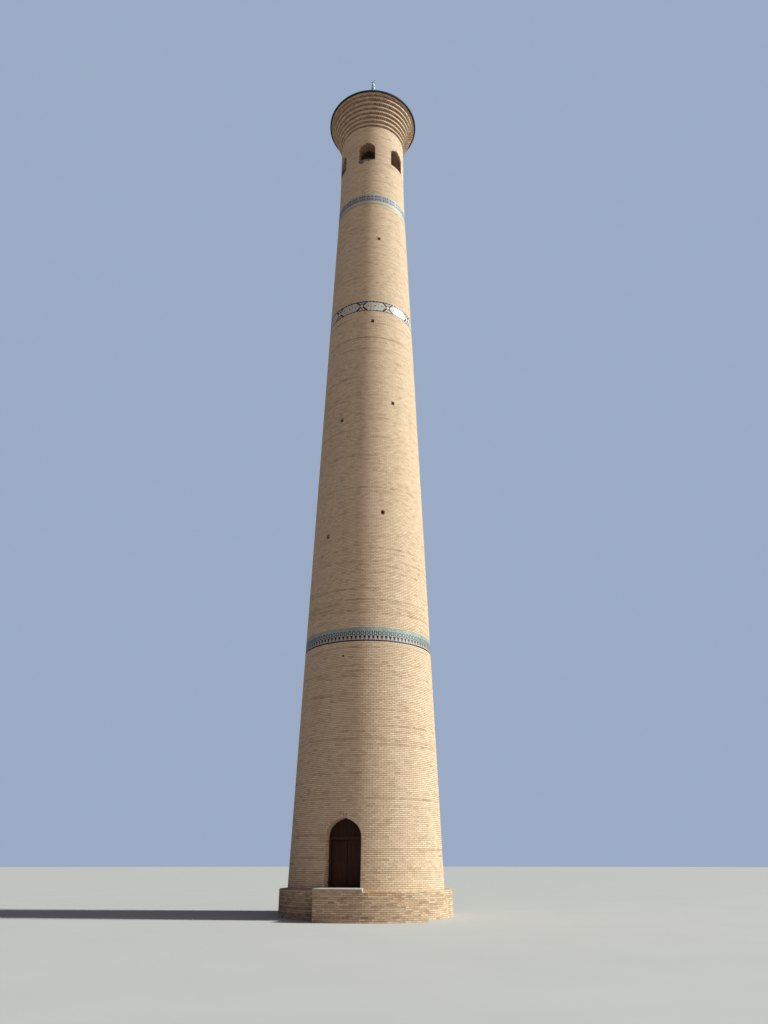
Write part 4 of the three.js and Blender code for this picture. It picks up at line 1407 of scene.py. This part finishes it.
rng = np.random.default_rng(8)
cornice = Heap()
for tier in range(1, TIER_COUNT + 1):
    foot = CORNICE_FOOT + (tier - 1) * TIER_HEIGHT
    band_foot = foot + TEETH_HEIGHT
    head = foot + TIER_HEIGHT
    radius = tier_radius(tier)
    wall = tier_radius(tier - 1)
    count = round(2 * math.pi * radius / TOOTH_PITCH)
    half = math.degrees(TOOTH_WIDTH / radius) / 2
    for i in range(count):
        bearing = 360 * i / count
        tip = radius - TOOTH_SHY
        cheek = tip - TOOTH_WIDTH / 2
        back = min(wall, cheek) - BEDDED
        plan = [(-half, cheek), (0, tip), (half, cheek), (half, back), (-half, back)]
        plan = [(bearing + turn, reach) for turn, reach in plan]
        outlines = [round_outline(plan, level) for level in (band_foot + JOINT, foot + JOINT)]
        # The teeth get a dark tone: painted shade under the band above.
        cornice.loft(outlines, rng.normal(TEETH_PAINTED_SHADE, EDGE_SCATTER))
    course = (head - band_foot) / 2
    for level, depth in ((band_foot - BAND_DROP, radius - wall), (band_foot + course, BEDDED)):
        bricks, step, joint = round_bond(radius)
        start = rng.uniform(0, step)
        tones = course_tones(rng, start + step * np.arange(bricks) - 180, WEATHERED)
        top = level + course - JOINT + (BAND_DROP if depth > BEDDED else 0)
        for i in range(bricks):
            bearings = (start + i * step + joint, start + (i + 1) * step - joint)
            out = PROUD + rng.normal(0, UNEVEN)
            round_block(
                cornice, bearings, (level, top), (radius + out, radius + out),
                (radius - depth, radius - depth), tones[i],
            )
cornice.make("cornice_bricks", buff_brick, "brick")

# The roof behind the rim is a low cone of dark sheet metal with standing seams, and a flashing
# of the same sheet is dressed over the top of the cornice.
SEAM_COUNT = 24
SEAM_HEIGHT, SEAM_WIDTH = 0.04 * METRE, 0.03 * METRE
SEAM_SHOULDER = 0.8
SEAM_PROFILE = [
    (SEAM_HEIGHT, SEAM_WIDTH / 3), (SEAM_HEIGHT * SEAM_SHOULDER, SEAM_WIDTH / 2), (-EASED, SEAM_WIDTH),
]
CROWN_RADIUS = 0.22 * METRE
SHEET_DARK = (0.012, 0.013, 0.017, 1)
SHEET_WORN = (0.034, 0.036, 0.042, 1)


def dark_sheet_finish():
    """Painted sheet metal: chalked paint, runs of dirt and dull wear."""
    material, place = start_finish("dark_sheet")
    chalk = place.noise(3.2, 5)
    runs = place.noise(14, 4, (1, 1, 0.2))
    shade = chalk * 0.55 + runs * 0.45
    colour = shade.blend(SHEET_DARK, SHEET_WORN)
    close_finish(place, colour, 0.75 + chalk * 0.2, runs, 0.001, Specular_IOR_Level=0.2)
    return material


def turned(heap, profile, sides):
    """A turned body from its (radius, height) profile, from the top down."""
    turns = [360 * i / sides for i in range(sides)]
    heap.loft([round_outline([(turn, radius) for turn in turns], level) for radius, level in profile])


dark_sheet = dark_sheet_finish()
roof_low, roof_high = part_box("roof_cone")
eaves = (roof_high.x, roof_low.z)
crown = (CROWN_RADIUS, roof_high.z)
seams = Heap()
slope = Vector((crown[0] - eaves[0], 0, crown[1] - eaves[1])).normalized()
up = Vector((-slope.z, 0, slope.x)) * -1
for i in range(SEAM_COUNT):
    turn = Euler((0, 0, 2 * math.pi * i / SEAM_COUNT)).to_matrix()
    outlines = []
    for rise, width in SEAM_PROFILE:
        ends = [Vector((radius, 0, level)) + up * rise for radius, level in (eaves, crown)]
        half = Vector((0, width / 2, 0))
        corners = [ends[0] + half, ends[1] + half, ends[1] - half, ends[0] - half]
        outlines.append([turn @ corner for corner in corners])
    seams.loft(outlines)
seams.make("roof_seams", dark_sheet, "dark_sheet")
dress(dark_sheet, "roof_cone", "rim_flashing")

# The finial is of dull silvery sheet: a mast with two hollow balls on collars, and a crescent
# cut from plate and soldered to a short stem.
MAST_RADIUS = 0.045 * METRE
MAST_FOOT_HEIGHT = 0.06 * METRE
MAST_TAPER_TOP = 0.3 * METRE
COLLAR_RADIUS = 0.08 * METRE
COLLAR_HEIGHT = 0.05 * METRE
BALL_BANDS = 20
BALL_SEAM = 1.015
SMOOTH_SHEET = 35
FINIAL_SIDES = 40
CRESCENT_OUTER = 0.16 * METRE
CRESCENT_INNER = 0.128 * METRE
CRESCENT_LIFT = 0.035 * METRE
CRESCENT_STEM = 0.028 * METRE
CRESCENT_STAND = 0.2 * METRE
CRESCENT_HALF = 0.025 * METRE
CRESCENT_EASE = 0.006 * METRE
CRESCENT_STEPS = 28
HORN_LIMIT = 0.99
# The silver is tinted blue: painted reflection of the sky over the sheet's own grey.
SKY_TINTED_SILVER = (0.40, 0.50, 0.60, 1)
SKY_TINTED_SILVER_DULL = (0.32, 0.40, 0.48, 1)


def silver_sheet_finish():
    """Tinned sheet: spun marks, dull patches and faint streaks, tinted blue as painted reflection of
    the sky.
    """
    material, place = start_finish("silver_sheet")
    spun = place.noise(240, 2, (0.15, 0.15, 1))
    patch = place.noise(7, 4)
    shade = spun * 0.4 + patch * 0.6
    close_finish(
        place, shade.blend(SKY_TINTED_SILVER_DULL, SKY_TINTED_SILVER), 0.65 - patch * 0.2, spun, 0.0004, Metallic=0.3
    )
    return material


silver_sheet = silver_sheet_finish()
mast_low, mast_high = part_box("finial_mast")
profile = [(MAST_RADIUS, mast_high.z)]
for name in ("finial_ball_upper", "finial_ball_lower"):
    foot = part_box(name)[0].z
    profile += [
        (MAST_RADIUS, foot), (COLLAR_RADIUS, foot), (COLLAR_RADIUS, foot - COLLAR_HEIGHT),
        (MAST_RADIUS, foot - COLLAR_HEIGHT),
    ]
skirt = mast_low.z + MAST_TAPER_TOP
profile += [
    (MAST_RADIUS, skirt), (COLLAR_RADIUS, skirt), (mast_high.x, mast_low.z + MAST_FOOT_HEIGHT),
    (mast_high.x, mast_low.z),
]
mast = Heap()
turned(mast, profile, FINIAL_SIDES)
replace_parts(mast.make("mast", silver_sheet, "silver_sheet", smooth=SMOOTH_SHEET), "finial_mast")
for name in ("finial_ball_lower", "finial_ball_upper"):
    ball = Heap()
    low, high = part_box(name)
    radius, centre, reach = high.x, (low.z + high.z) / 2, (high.z - low.z) / 2
    turns = [math.asin(reach / radius) * (1 - 2 * i / BALL_BANDS) for i in range(BALL_BANDS + 1)]
    round_ball = [(radius * math.cos(t), centre + radius * math.sin(t)) for t in turns]
    seam = BALL_BANDS // 2
    proud = (radius * BALL_SEAM, centre)
    turned(ball, round_ball[:seam] + [proud] + round_ball[seam + 1:], FINIAL_SIDES)
    piece = ball.make(name.replace("finial_", ""), silver_sheet, "silver_sheet", smooth=SMOOTH_SHEET)
    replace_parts(piece, name)


def crescent_outline(y, grow):
    """The crescent's outline, grown by some metres, anticlockwise seen from the front."""
    outer, inner, lift = CRESCENT_OUTER + grow, CRESCENT_INNER - grow, CRESCENT_LIFT
    horn_z = min((outer**2 - inner**2 + lift**2) / (2 * lift), outer * HORN_LIMIT)
    horn_x = math.sqrt(outer**2 - horn_z**2)
    start, end = -math.pi - math.atan2(horn_z, horn_x), math.atan2(horn_z, horn_x)
    points = []
    for i in range(CRESCENT_STEPS + 1):
        turn = start + (end - start) * i / CRESCENT_STEPS
        points.append((outer * math.cos(turn), outer * math.sin(turn)))
    start, end = math.atan2(horn_z - lift, horn_x), -math.pi - math.atan2(horn_z - lift, horn_x)
    for i in range(1, CRESCENT_STEPS):
        turn = start + (end - start) * i / CRESCENT_STEPS
        points.append((inner * math.cos(turn), lift + inner * math.sin(turn)))
    return [(x, y, crescent_z + z) for x, z in points]


crescent_z = mast_high.z + CRESCENT_STAND
crescent = Heap()
crescent.loft([
    crescent_outline(-CRESCENT_HALF, -CRESCENT_EASE),
    crescent_outline(CRESCENT_EASE - CRESCENT_HALF, 0),
    crescent_outline(CRESCENT_HALF - CRESCENT_EASE, 0),
    crescent_outline(CRESCENT_HALF, -CRESCENT_EASE),
])
stem_top = crescent_z - CRESCENT_OUTER + 2 * CRESCENT_EASE
stem = [
    (CRESCENT_STEM, stem_top), (CRESCENT_STEM, mast_high.z + MAST_RADIUS / 2),
    (MAST_RADIUS, mast_high.z + MAST_RADIUS / 4), (MAST_RADIUS, mast_high.z),
]
turned(crescent, stem, FINIAL_SIDES)
piece = crescent.make("crescent", silver_sheet, "silver_sheet", smooth=SMOOTH_SHEET)
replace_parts(piece, "finial_crescent")
